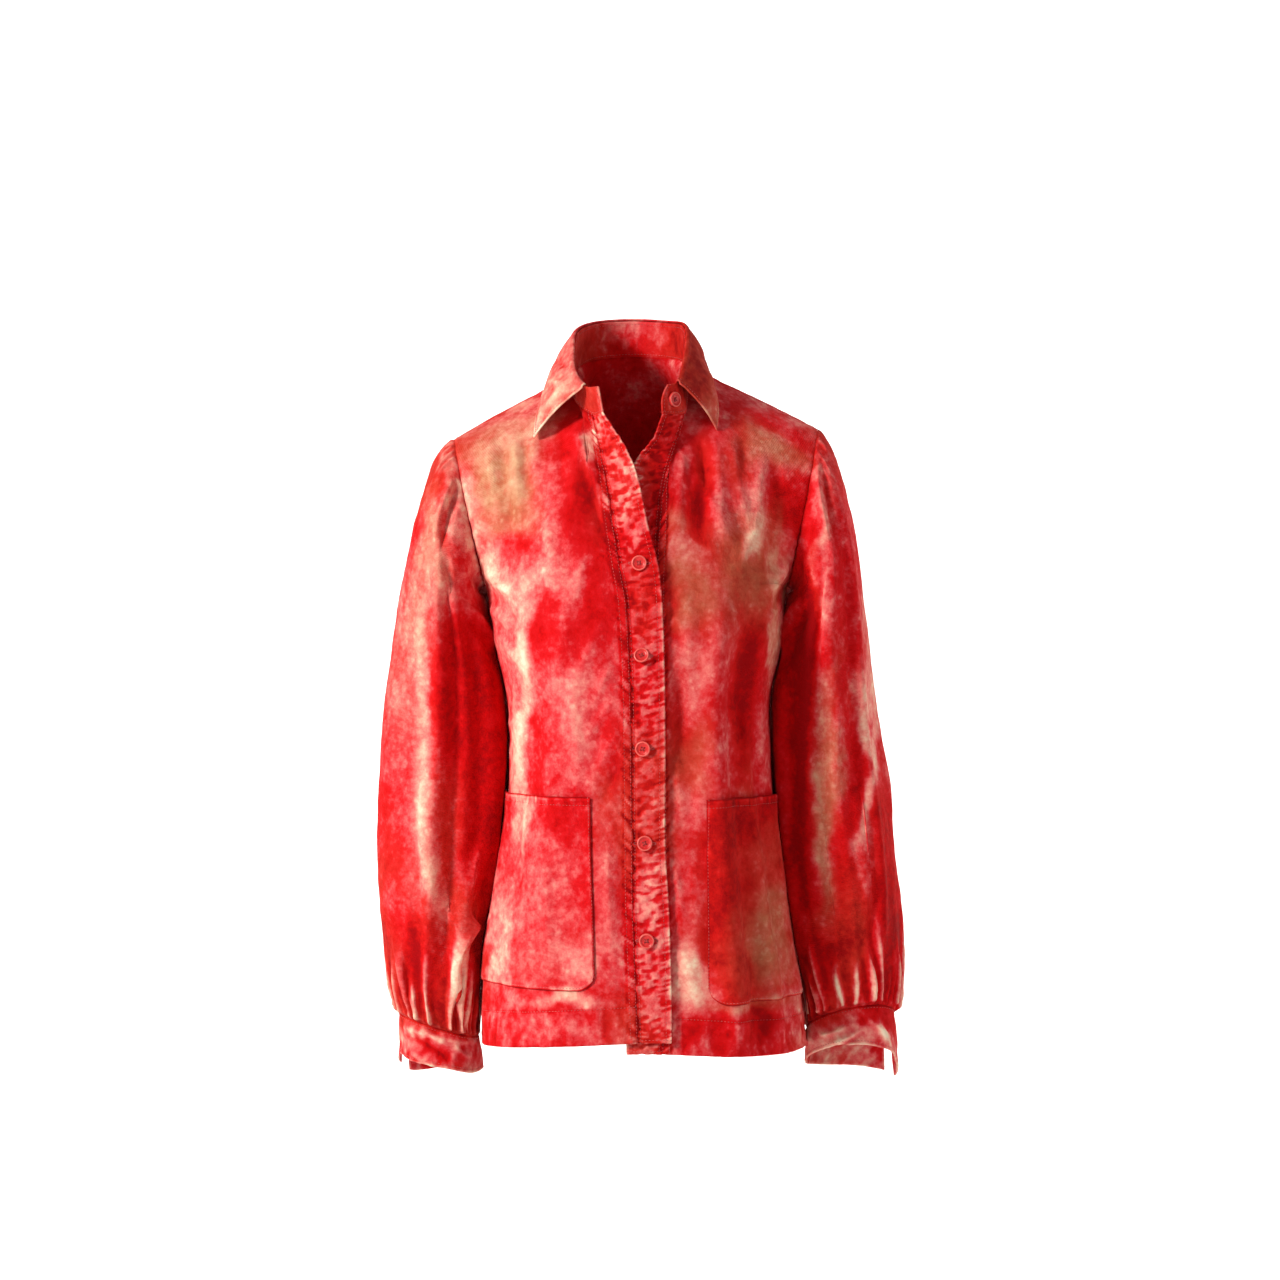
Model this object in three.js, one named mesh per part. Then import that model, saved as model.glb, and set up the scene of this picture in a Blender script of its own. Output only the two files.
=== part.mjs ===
/**
 * A button-down cotton shirt, held open and hollow in the form that it has when it is worn.
 *
 * Millimetres. +X is the wearer's left, -Y the front, +Z up. The origin is in the middle of the
 * neck, level with the higher end of the shoulder seams. A drop is a distance below the origin.
 * Each piece that is cut and sewn on is one wall of cloth, a seam gap away from its neighbours.
 */
import * as THREE from "three";

const CLOTH = 1.2;
const BAND_CLOTH = 2.2;
const LEAF_CLOTH = 2;
const SEAM_GAP = 0.3;
const BENT_SEAM_GAP = 0.8;
const LAID_GAP = 0.8;

const SIDE_Y = 3;
const ROUNDNESS = 2.3;
const SLEEVE_ROUNDNESS = 2.15;
const SHOULDER_ROUNDNESS = 1.4;

const NECK_DROP = 60;
const UNDERARM_DROP = 222;
const YOKE_REACH = 0.85;
const YOKE_SOFTENING = 0.3;
const ROUND_FROM_DOWN = 0.6;
const FOLDS_START = 0.05;
const FOLDS_FULL = 0.5;
const FOLDS_END_POWER = 8;
const BAND_TOP_SHARE = 0.3;
const UNDERLAP_FULL = 0.3;
const NECK_COLUMNS = 4;
const FRONT_COLUMNS = 16;
const BACK_NECK_COLUMNS = 10;
const BAND_COLUMNS = 2;
const LEAF_COLUMNS = 24;
const ARMHOLE_STEPS = 14;
const SKIRT_STEPS = 12;
const NECK_SHARE = NECK_COLUMNS / FRONT_COLUMNS;
const SHOULDER_COLUMNS = FRONT_COLUMNS - NECK_COLUMNS;

const UNDERLAP_TUCK = 4;
const UNDERLAP_FROM = 32;
const UNDERLAP_TO = 80;

const SLEEVE_END = 11;
const SLEEVE_CLEARANCE = 3.5;
const CLEAR_FROM_SECTION = 2;
const GATHER_WAVES = 14;
const GATHER_LIFT = 2.7;
const GATHER_LEFT_AT_CUFF = 0.05;
const HEAD_TUCKS = 28;
const HEAD_TUCK_LIFT = 1.4;
// Sections, or degrees from the crown, between which a form of the sleeve comes and goes.
const HEAD_SPAN = { full: 0.5, fades: 1.1, gone: 2.8 };
const CROWN_SPAN = { fades: 40, gone: 65 };
const GATHER_SPAN = { starts: 7.8, full: 10.4, fades: 10.6 };
const FOLD_SPAN = { starts: 0.5, full: 3, fades: 9.5 };
// The gathers are uneven round the sleeve.
const UNEVEN = { mean: 0.8, swing: 0.3, waves: 3, start: 40 };

const BUTTON_RADIUS = 7.25;
const BUTTON_HEIGHT = 2.8;

/** Names the columns of a table. The first column is its key. */
function table(heading, rows) {
  const names = heading.split(" ");
  return rows.map((row) => Object.fromEntries(names.map((name, i) => [name, row[i]])));
}

/** A smooth curve through a table's rows, held at both ends. */
function curve(rows) {
  const [key, ...names] = Object.keys(rows[0]);
  const last = rows.length - 1;
  const slope = (i, name) => {
    const before = rows[Math.max(i - 1, 0)];
    const after = rows[Math.min(i + 1, last)];
    return (after[name] - before[name]) / (after[key] - before[key]);
  };
  return (place) => {
    const held = THREE.MathUtils.clamp(place, rows[0][key], rows[last][key]);
    let i = 0;
    while (i < last - 1 && held > rows[i + 1][key]) i += 1;
    const span = rows[i + 1][key] - rows[i][key];
    const u = (held - rows[i][key]) / span;
    const rise = u * u * (3 - 2 * u);
    const result = {};
    for (const name of names) {
      const leave = slope(i, name) * span * u * (1 - u) * (1 - u);
      const arrive = slope(i + 1, name) * span * u * u * (u - 1);
      result[name] = rows[i][name] * (1 - rise) + rows[i + 1][name] * rise + leave + arrive;
    }
    return result;
  };
}

// Half widths and depths of the body by drop, each measured from the origin's vertical axis.
const bodyAt = curve(table("drop right left back", [
  [222, 148, 147, 98],
  [276, 139, 142, 97],
  [330, 127, 130, 95],
  [372, 124, 130, 94],
  [430, 127, 134, 97],
  [500, 135, 142, 104],
  [565, 147, 151, 110],
  [615, 151, 160, 113],
  [668, 152, 166, 116],
]));

// How far the middle of the front stands forward, by drop.
const frontAt = curve(table("drop front", [
  [60, 74],
  [78, 80],
  [98, 87],
  [122, 95],
  [164, 107],
  [207, 117],
  [276, 124],
  [330, 121],
  [372, 118],
  [430, 117],
  [500, 119],
  [565, 121],
  [668, 124],
]));

// The middle of the back from the neck seam, 0, to the level of the underarm, 1.
const backMiddleAt = curve(table("share y z", [
  [0, 58, 10],
  [0.15, 78, -15],
  [0.3, 92, -50],
  [0.5, 100, -100],
  [0.75, 100, -165],
  [1, 98, -222],
]));

// The neck seam and the top of the stand, from the right end, 0, round the back to the left, 1.
const neckAt = curve(table("share x y z topX topY topZ", [
  [0, -33, -95, -60, -37, -97, -36],
  [0.08, -42, -74, -60, -49, -78, -34],
  [0.17, -59, -54, -46, -59, -60, -18],
  [0.27, -63, -28, -28, -61, -34, 5],
  [0.36, -62, -2, -12, -59, -5, 26],
  [0.43, -46, 40, 4, -43, 36, 39],
  [0.5, -6, 58, 10, -6, 54, 44],
  [0.57, 34, 40, 6, 31, 36, 40],
  [0.64, 49, -2, -4, 46, -5, 32],
  [0.73, 51, -28, -21, 48, -34, 12],
  [0.83, 49, -54, -42, 44, -60, -13],
  [0.92, 45, -72, -58, 38, -77, -30],
  [1, 25, -90, -61, 22, -93, -34],
]));

// The free edge of the collar leaf by the same share of the neck.
const leafEdgeAt = curve(table("share x y z", [
  [0.08, -99, -64, -80],
  [0.17, -98, -46, -59],
  [0.27, -92, -23, -34],
  [0.36, -84, 2, -17],
  [0.43, -62, 53, -9],
  [0.5, -6, 81, -5],
  [0.57, 50, 53, -7],
  [0.64, 66, 2, -2],
  [0.73, 73, -23, -21],
  [0.83, 79, -46, -48],
  [0.92, 77, -62, -73],
]));

// The two sides of the shirt differ a little, as cloth that hangs on a figure does.
const SIDES = {
  right: {
    sign: -1,
    seamShare: 0.08,
    shoulderShare: 0.36,
    freeShare: 0,
    tuck: 0,
    hemAt: curve(table("across drop", [[0, 650], [0.5, 659], [1, 668]])),
    // X of the band's seam and free edge, and how far the free edge stands forward.
    bandAt: curve(table("drop seam edge reach", [
      [60, -42, -31, 26],
      [78, -38, -20, 24],
      [98, -34, -9, 20],
      [122, -29, 0, 15],
      [164, -22, 9, 9],
      [207, -15, 19.6, 4],
      [240, -9.5, 23, 2],
      [300, -6, 25, 1],
      [372, -4.5, 26, 0.5],
      [467, -3.5, 26, 0.5],
      [520, -3, 29, 0.5],
      [597, 0, 31.5, 0.5],
      [655, 2, 32, 0.5],
    ])),
    // Sections of the sleeve from the armhole, 0, to the cuff seam, 11.
    sleeveAt: curve(table("at outer outerDrop inner innerDrop front back rise", [
      [0, 179, 77, 148, 222, 48, 54, 0],
      [1, 193, 92, 153, 225, 55, 58, 0],
      [2, 205, 118, 155, 233, 59, 61, 0],
      [3, 218, 160, 153, 250, 59, 64, 0],
      [4, 230, 215, 142, 277, 56, 68, 0],
      [5, 241, 285, 126, 330, 50, 72, 0],
      [6, 250, 362, 120, 400, 44, 75, 0],
      [7, 256, 445, 124, 478, 40, 76, 0],
      [8, 255, 520, 133, 545, 38, 75, 0],
      [9, 250, 575, 142, 598, 36, 72, 0],
      [10, 243, 618, 151, 640, 30, 62, 0],
      [11, 235, 640, 156, 664, 22, 48, 0],
    ])),
    // The free edge of the cuff by the angle from its outer side round by the front.
    cuffEdgeAt: curve(table("turn out y drop", [
      [0, 235, 20, 682],
      [60, 217, -16, 685],
      [110, 184, -25, 690],
      [150, 160, -8, 697],
      [180, 150, 13, 695],
      [230, 163, 44, 699],
      [280, 200, 56, 702],
      [320, 226, 47, 703],
      [335, 236, 40, 694],
      [360, 235, 20, 682],
    ])),
    sleeveFolds: table("from fromTurn to toTurn lift width", [
      [190, 64, 600, 68, 2.5, 7],
      [180, 77, 600, 79, -4.5, 6],
      [170, 90, 610, 92, 4.5, 8],
      [190, 116, 590, 118, -6, 12],
      [230, 20, 480, 30, 2, 14],
      [260, 232, 600, 240, -4, 12],
      [200, 268, 560, 262, 4, 11],
      [300, 306, 590, 300, -3, 12],
    ]),
    pocket: { top: 422, bottom: 603, innerTop: -44, innerBottom: -39 },
  },
  left: {
    sign: 1,
    seamShare: 0.92,
    shoulderShare: 0.64,
    freeShare: 1,
    tuck: UNDERLAP_TUCK,
    hemAt: curve(table("across drop", [[0, 661], [0.5, 667], [1, 668]])),
    bandAt: curve(table("drop seam edge reach", [
      [60, 45, 26, 18],
      [84, 38, 17, 15],
      [108, 30, -1, 10],
      [140, 23, -9, 5],
      [207, 18, -14, 1],
      [300, 18.5, -13, 0],
      [372, 19, -12, 0],
      [555, 21, -10.5, 0],
      [660, 23, -9, 0],
    ])),
    sleeveAt: curve(table("at outer outerDrop inner innerDrop front back rise", [
      [0, 177, 67, 147, 222, 48, 54, 0],
      [1, 189, 84, 152, 225, 55, 57, 0],
      [2, 200, 112, 154, 233, 59, 60, 0],
      [3, 212, 160, 153, 250, 59, 63, 0],
      [4, 221, 216, 143, 277, 56, 67, 0],
      [5, 230, 285, 129, 330, 50, 71, 0],
      [6, 238, 362, 126, 400, 44, 74, 0],
      [7, 251, 445, 130, 476, 40, 76, 0],
      [8, 258, 520, 140, 545, 38, 75, 0],
      [9, 261, 578, 150, 600, 36, 72, 5],
      [10, 259, 618, 161, 640, 30, 62, 12],
      [11, 254, 642, 166, 658, 22, 48, 18],
    ])),
    cuffEdgeAt: curve(table("turn out y drop", [
      [0, 258, 16, 694],
      [40, 250, -10, 677],
      [80, 226, -25, 667],
      [120, 195, -23, 668],
      [150, 172, -6, 678],
      [180, 165, 13, 690],
      [230, 180, 44, 697],
      [280, 218, 57, 700],
      [320, 246, 48, 703],
      [335, 257, 36, 707],
      [360, 258, 16, 694],
    ])),
    sleeveFolds: table("from fromTurn to toTurn lift width", [
      [180, 51, 600, 54, 4.5, 8],
      [190, 77, 610, 79, -5, 8],
      [200, 102, 600, 104, 3.5, 9],
      [240, 128, 590, 130, -5, 11],
      [240, 18, 520, 24, -2.5, 11],
      [240, 236, 600, 230, -4, 12],
      [210, 266, 580, 270, 4, 11],
      [300, 308, 590, 312, -3, 12],
    ]),
    pocket: { top: 424, bottom: 616, innerTop: 64, innerBottom: 68 },
  },
};

// Folds of the body: each runs down from one drop and turn to another. A turn is in degrees
// round the body from the middle of the front, and is positive on the left.
const BODY_FOLDS = table("from fromTurn to toTurn lift width", [
  [215, 27, 690, 33, 8, 6],
  [230, 38, 690, 43, -6, 6],
  [300, 50, 680, 54, 4, 6],
  [330, 61, 670, 63, -3.5, 6],
  [95, -27, 215, -31, 3.5, 6],
  [240, -24, 640, -20, -2.5, 7],
  [300, -38, 600, -44, 3, 8],
  [330, -62, 660, -60, -3, 8],
  [380, 74, 690, 73, 2.5, 6],
  [420, -76, 690, -75, 2, 6],
  [150, 40, 250, 34, 2.5, 7],
  [250, 112, 690, 118, 4, 8],
  [280, 131, 690, 134, -5, 8],
  [230, 152, 690, 150, 5, 8],
  [330, 168, 690, 170, -4, 8],
  [260, -113, 690, -117, 4, 8],
  [300, -133, 690, -131, -5, 8],
  [240, -154, 690, -152, 5, 8],
  [320, -170, 690, -172, -3, 7],
]);

const smooth = THREE.MathUtils.smoothstep;
const mix = THREE.MathUtils.lerp;
const radians = THREE.MathUtils.degToRad;
const vector = (x, y, z) => new THREE.Vector3(x, y, z);
const signedPower = (value, power) => Math.sign(value) * Math.abs(value) ** power;

/** How far the folds lift the cloth at a turn in degrees and a drop. */
function foldLift(folds, turn, drop) {
  const FADE = 70;
  let lift = 0;
  for (const fold of folds) {
    const along = THREE.MathUtils.clamp((drop - fold.from) / (fold.to - fold.from), 0, 1);
    const off = (turn - mix(fold.fromTurn, fold.toTurn, along)) / fold.width;
    const fadeIn = smooth(drop, fold.from, fold.from + FADE);
    const fadeOut = 1 - smooth(drop, fold.to - FADE, fold.to);
    lift += fold.lift * Math.exp(-off * off) * fadeIn * fadeOut;
  }
  return lift;
}

/** The sleeve's ring at a section, at an angle from its outer side round by the front. */
function sleeveRing(side, at, degrees) {
  const section = side.sleeveAt(at);
  const power = 2 / SLEEVE_ROUNDNESS;
  const across = signedPower(Math.cos(radians(degrees)), power);
  const forward = signedPower(Math.sin(radians(degrees)), power);
  const outward = (1 + across) / 2;
  return vector(
    side.sign * mix(section.inner, section.outer, outward),
    (section.back - section.front) / 2 - (forward * (section.back + section.front)) / 2,
    -mix(section.innerDrop, section.outerDrop, outward) + section.rise * Math.max(0, forward),
  );
}

/** Moves a sleeve point out until it clears the body beside it. */
function clearOfBody(side, point, clearance) {
  const drop = -point.z;
  if (drop < UNDERARM_DROP) return;
  const body = bodyAt(drop);
  const depth = point.y < SIDE_Y ? frontAt(drop).front + SIDE_Y : body.back - SIDE_Y;
  const share = Math.abs(point.y - SIDE_Y) / depth;
  if (share >= 1) return;
  const width = side.sign < 0 ? body.right : body.left;
  const limit = width * (1 - share ** ROUNDNESS) ** (1 / ROUNDNESS) + clearance;
  if (Math.abs(point.x) < limit) point.x = side.sign * limit;
}

/** The sleeve's outer surface, with its head tucks, long folds and the gathers at the cuff. */
function sleevePoint(side, at, degrees) {
  const point = sleeveRing(side, at, degrees);
  const middle = sleeveRing(side, at, 0).add(sleeveRing(side, at, 180)).multiplyScalar(0.5);
  const crown = Math.abs(THREE.MathUtils.euclideanModulo(degrees + 180, 360) - 180);
  const head = smooth(at, 0, HEAD_SPAN.full)
    * (1 - smooth(at, HEAD_SPAN.fades, HEAD_SPAN.gone))
    * (1 - smooth(crown, CROWN_SPAN.fades, CROWN_SPAN.gone));
  const gathers = smooth(at, GATHER_SPAN.starts, GATHER_SPAN.full)
    * mix(1, GATHER_LEFT_AT_CUFF, smooth(at, GATHER_SPAN.fades, SLEEVE_END));
  const unevenness = UNEVEN.mean
    + UNEVEN.swing * Math.sin(radians(UNEVEN.waves * degrees + UNEVEN.start));
  const free = smooth(at, FOLD_SPAN.starts, FOLD_SPAN.full)
    * (1 - smooth(at, FOLD_SPAN.fades, SLEEVE_END));
  const lift = head * HEAD_TUCK_LIFT * Math.cos(radians(HEAD_TUCKS * degrees))
    + gathers * GATHER_LIFT * unevenness * Math.cos(radians(GATHER_WAVES * degrees))
    + free * foldLift(side.sleeveFolds, degrees, -middle.z);
  point.add(point.clone().sub(middle).normalize().multiplyScalar(lift));
  clearOfBody(side, point, SLEEVE_CLEARANCE * smooth(at, 0, CLEAR_FROM_SECTION));
  return point;
}

/** Rows are flatter across the shoulders. `down` is 0 at their seams, 1 at the underarm. */
const roundnessAt = (down) => (
  mix(SHOULDER_ROUNDNESS, ROUNDNESS, smooth(down, 0, ROUND_FROM_DOWN))
);

/** The oval that a row follows: it ends at an outer point, and its middle lies at a depth. */
function rowOval(outer, middleY, down) {
  const power = roundnessAt(down);
  const depth = middleY - SIDE_Y;
  const rest = 1 - Math.abs((outer.y - SIDE_Y) / depth) ** power;
  const width = outer.x / rest ** (1 / power);
  return {
    endTurn: Math.asin(Math.sqrt(rest)),
    turnAt: (x) => Math.asin(signedPower(x / width, power / 2)),
    pointAt: (turn) => ({
      x: width * signedPower(Math.sin(turn), 2 / power),
      y: SIDE_Y + depth * signedPower(Math.cos(turn), 2 / power),
    }),
  };
}

/** A front at a share of its width and `down`: 0 to 1 by the armhole, 1 to 2 by the side seam. */
function frontRow(side, across, down) {
  const upper = down <= 1;
  const drop = upper
    ? mix(NECK_DROP, UNDERARM_DROP, down)
    : mix(UNDERARM_DROP, side.hemAt(across).drop, down - 1);
  const body = bodyAt(drop);
  const width = side.sign < 0 ? body.right : body.left;
  const outer = upper ? sleeveRing(side, 0, 180 * down) : vector(side.sign * width, SIDE_Y, -drop);
  const { seam } = side.bandAt(drop);
  const oval = rowOval(outer, -frontAt(drop).front, down);
  const turn = mix(oval.turnAt(seam), oval.endTurn, across);
  const { x, y } = oval.pointAt(turn);
  const z = mix(-drop, outer.z, (x - seam) / (outer.x - seam));
  return { point: vector(x, y, z), turn, drop };
}

/** The neckline and shoulder seam along the top of a front. */
function frontTop(side, across) {
  if (across <= NECK_SHARE) {
    const neck = neckAt(mix(side.seamShare, side.shoulderShare, across / NECK_SHARE));
    return vector(neck.x, neck.y, neck.z);
  }
  const neck = neckAt(side.shoulderShare);
  const shoulder = sleeveRing(side, 0, 0);
  return vector(neck.x, neck.y, neck.z).lerp(shoulder, (across - NECK_SHARE) / (1 - NECK_SHARE));
}

/** Draws a row towards the seam above it: forward or back first, and up last. */
function drawToTop(point, topAt, rowAt, across, down) {
  const bend = (Math.min(1, down / YOKE_REACH) * Math.PI) / 2;
  const room = Math.min(Math.abs(across), 1 - Math.abs(across));
  const spread = Math.min(YOKE_SOFTENING * down, room);
  const pull = (place) => topAt(place).sub(rowAt(place, 0).point);
  const mean = pull(across - spread).add(pull(across + spread)).multiplyScalar(0.25)
    .addScaledVector(pull(across), 0.5);
  point.x += mean.x * Math.cos(bend);
  point.y += mean.y * (1 - Math.sin(bend));
  point.z += mean.z * Math.cos(bend);
}

/** How freely the folds show, fading towards the shoulder seams and the armholes. */
const foldFreedom = (across, down) => (
  down > 1 ? 1 : smooth(down, FOLDS_START, FOLDS_FULL) * (1 - across ** FOLDS_END_POWER)
);

/** The outer surface of a front. */
function frontPoint(side, across, down) {
  const { point, turn, drop } = frontRow(side, across, down);
  const topAt = (place) => frontTop(side, place);
  const rowAt = (place, level) => frontRow(side, place, level);
  drawToTop(point, topAt, rowAt, across, down);
  const degrees = side.sign * THREE.MathUtils.radToDeg(turn);
  const lift = foldFreedom(across, down) * foldLift(BODY_FOLDS, degrees, drop);
  point.x += side.sign * Math.sin(turn) * lift;
  point.y -= Math.cos(turn) * lift;
  const under = 1 - smooth(point.x, UNDERLAP_FROM, UNDERLAP_TO);
  point.y += side.tuck * under * smooth(down, 0, UNDERLAP_FULL);
  return point;
}

/** A button band from its seam, 0, to its free edge, 1, before it is drawn to the neck. */
function bandRow(side, across, down) {
  const start = frontPoint(side, 0, down);
  const drop = down <= 1
    ? mix(NECK_DROP, UNDERARM_DROP, down)
    : mix(UNDERARM_DROP, side.hemAt(0).drop, down - 1);
  const { seam, edge, reach } = side.bandAt(drop);
  return vector(start.x + (edge - seam) * across, start.y - reach * across, start.z);
}

/** The outer surface of a button band. Its top follows the neck seam. */
function bandPoint(side, across, down) {
  const point = bandRow(side, across, down);
  const pull = Math.max(0, 1 - down / BAND_TOP_SHARE);
  const neck = neckAt(mix(side.seamShare, side.freeShare, across));
  return point.addScaledVector(vector(neck.x, neck.y, neck.z).sub(bandRow(side, across, 0)), pull);
}

/** The back at a signed share of its width: -1 at the right armhole, 0 in the middle, 1 left. */
function backRow(across, down) {
  const side = across < 0 ? SIDES.right : SIDES.left;
  const upper = down <= 1;
  const middle = upper ? backMiddleAt(down) : null;
  const drop = upper ? -middle.z : mix(UNDERARM_DROP, side.hemAt(1).drop, down - 1);
  const body = bodyAt(drop);
  const width = side.sign < 0 ? body.right : body.left;
  const outer = upper
    ? sleeveRing(side, 0, 360 - 180 * down)
    : vector(side.sign * width, SIDE_Y, -drop);
  const oval = rowOval(outer, upper ? middle.y : body.back, down);
  const turn = Math.abs(across) * oval.endTurn;
  const { x, y } = oval.pointAt(turn);
  const z = mix(-drop, outer.z, (x / outer.x) ** 2);
  return { point: vector(x, y, z), turn, drop, side };
}

/** The shoulder seams and the back of the neck along the top of the back. */
function backTop(across) {
  const share = BACK_NECK_COLUMNS / (BACK_NECK_COLUMNS + 2 * SHOULDER_COLUMNS);
  const side = across < 0 ? SIDES.right : SIDES.left;
  if (Math.abs(across) <= share) {
    const neck = neckAt(0.5 + (across / share) * (SIDES.left.shoulderShare - 0.5));
    return vector(neck.x, neck.y, neck.z);
  }
  const along = (Math.abs(across) - share) / (1 - share);
  return frontTop(side, mix(NECK_SHARE, 1, along));
}

/** The outer surface of the back. */
function backPoint(across, down) {
  const { point, turn, drop, side } = backRow(across, down);
  drawToTop(point, backTop, backRow, across, down);
  const degrees = side.sign * (180 - THREE.MathUtils.radToDeg(turn));
  const lift = foldFreedom(Math.abs(across), down) * foldLift(BODY_FOLDS, degrees, drop);
  point.x += side.sign * Math.sin(turn) * lift;
  point.y += Math.cos(turn) * lift;
  return point;
}

/** The collar stand from the neck seam, 0, to its top, 1. Its left end is rounded off. */
function standPoint(share, height) {
  const END_ROUNDING = 0.035;
  const { seamShare } = SIDES.left;
  const end = 1 - END_ROUNDING * height ** 3;
  const held = share > seamShare ? mix(seamShare, end, (share - seamShare) / (1 - seamShare)) : share;
  const neck = neckAt(held);
  return vector(neck.x, neck.y, neck.z).lerp(vector(neck.topX, neck.topY, neck.topZ), height);
}

/** The collar leaf from its fold over the stand, 0, to its free edge, 1. */
function leafPoint(share, spread) {
  const STEP = 0.01;
  const ROLL = 0.14;
  const ROLL_TURN = radians(85);
  const ROLL_RADIUS = LEAF_CLOTH + 2.4;
  const ROLL_DROP = 1;
  const BELLY_OUT = 2.5;
  const BELLY_UP = 2;
  const neck = neckAt(share);
  const before = neckAt(share - STEP);
  const after = neckAt(share + STEP);
  const out = vector(before.topY - after.topY, after.topX - before.topX, 0).normalize();
  const rollTurn = Math.min(1, spread / ROLL) * ROLL_TURN;
  const roll = vector(neck.topX, neck.topY, neck.topZ - ROLL_DROP)
    .addScaledVector(out, ROLL_RADIUS * Math.sin(rollTurn))
    .add(vector(0, 0, ROLL_RADIUS * Math.cos(rollTurn)));
  if (spread <= ROLL) return roll;
  const edge = leafEdgeAt(share);
  const along = (spread - ROLL) / (1 - ROLL);
  const belly = 4 * along * (1 - along);
  return roll.lerp(vector(edge.x, edge.y, edge.z), along)
    .addScaledVector(out, BELLY_OUT * belly)
    .add(vector(0, 0, BELLY_UP * belly));
}

/** A cuff from the gathered sleeve, 0, to its free edge, 1. */
function cuffPoint(side, degrees, height) {
  const edge = side.cuffEdgeAt(THREE.MathUtils.euclideanModulo(degrees, 360));
  const top = sleevePoint(side, SLEEVE_END, degrees);
  return top.lerp(vector(side.sign * edge.out, edge.y, -edge.drop), height);
}

/** One layer of cloth: its outer points, and triangles whose fronts face out. */
class Sheet {
  constructor() {
    this.points = [];
    this.triangles = [];
  }

  addRow(points) {
    const first = this.points.length;
    this.points.push(...points);
    return points.map((_, i) => first + i);
  }

  /** Joins two rows of points. One of them may have twice as many spans as the other. */
  join(upper, lower, closed, flip) {
    const spans = (row) => (closed ? row.length : row.length - 1);
    const put = (a, b, c) => this.triangles.push(flip ? [a, c, b] : [a, b, c]);
    const steps = Math.min(spans(upper), spans(lower));
    const split = (row, i) => {
      const times = spans(row) / steps;
      return Array.from({ length: times + 1 }, (_, j) => row[(i * times + j) % row.length]);
    };
    for (let i = 0; i < steps; i += 1) {
      const high = split(upper, i);
      const low = split(lower, i);
      if (high.length === 3) {
        put(high[0], high[1], low[0]);
        put(high[1], low[1], low[0]);
        put(high[1], high[2], low[1]);
      } else if (low.length === 3) {
        put(high[0], low[1], low[0]);
        put(high[0], high[1], low[1]);
        put(high[1], low[2], low[1]);
      } else {
        put(high[0], high[1], low[0]);
        put(high[1], low[1], low[0]);
      }
    }
  }

  /** Unit normals from the triangles round each point, each weighed by its angle there. */
  normals() {
    const normals = this.points.map(() => vector(0, 0, 0));
    for (const [a, b, c] of this.triangles) {
      for (const [corner, next, last] of [[a, b, c], [b, c, a], [c, a, b]]) {
        const leave = this.points[next].clone().sub(this.points[corner]);
        const arrive = this.points[last].clone().sub(this.points[corner]);
        const angle = leave.angleTo(arrive);
        normals[corner].addScaledVector(leave.cross(arrive).normalize(), angle);
      }
    }
    return normals.map((normal) => normal.normalize());
  }

  /** Edges that only one triangle uses, in that triangle's direction, with its third corner. */
  rim() {
    const edges = new Map();
    for (const [a, b, c] of this.triangles) {
      for (const [from, to, third] of [[a, b, c], [b, c, a], [c, a, b]]) {
        if (!edges.delete(`${to} ${from}`)) edges.set(`${from} ${to}`, [from, to, third]);
      }
    }
    return [...edges.values()];
  }
}

/** A sheet of rows from a function of the column's and the row's share, or of their own values. */
function sheetOf(rows, columns, pointAt, { closed = false, flip = false } = {}) {
  const sheet = new Sheet();
  let upper = null;
  for (const row of rows) {
    const lower = sheet.addRow(columns(row).map((column) => pointAt(column, row)));
    if (upper) sheet.join(upper, lower, closed, flip);
    upper = lower;
  }
  return sheet;
}

const steps = (count, from = 0, to = 1) => (
  Array.from({ length: count + 1 }, (_, i) => mix(from, to, i / count))
);

const SAME_PLACE = 0.017;
const placeOf = (point) => (
  point.toArray().map((value) => Math.round(value / SAME_PLACE)).join(" ")
);

/**
 * Normals of sheets that are sewn together. Along a shared seam they are the same, and so is
 * their slant, the share of a step along them that counts towards the thickness of the cloth.
 */
function sewnNormals(sheets) {
  const LEAST_SLANT = 0.6;
  const meetings = new Map();
  sheets.forEach((sheet) => {
    const own = sheet.normals();
    sheet.points.forEach((point, i) => {
      const place = placeOf(point);
      if (!meetings.has(place)) meetings.set(place, []);
      meetings.get(place).push(own[i]);
    });
  });
  return sheets.map((sheet) => sheet.points.map((point) => {
    const met = meetings.get(placeOf(point));
    const sum = met.reduce((total, normal) => total.add(normal), vector(0, 0, 0));
    const slant = Math.max(LEAST_SLANT, sum.length() / met.length);
    return { shared: sum.normalize(), slant };
  }));
}

const SPLIT_DIRECTION = vector(0.8, 0.5, 0.3);

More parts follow.
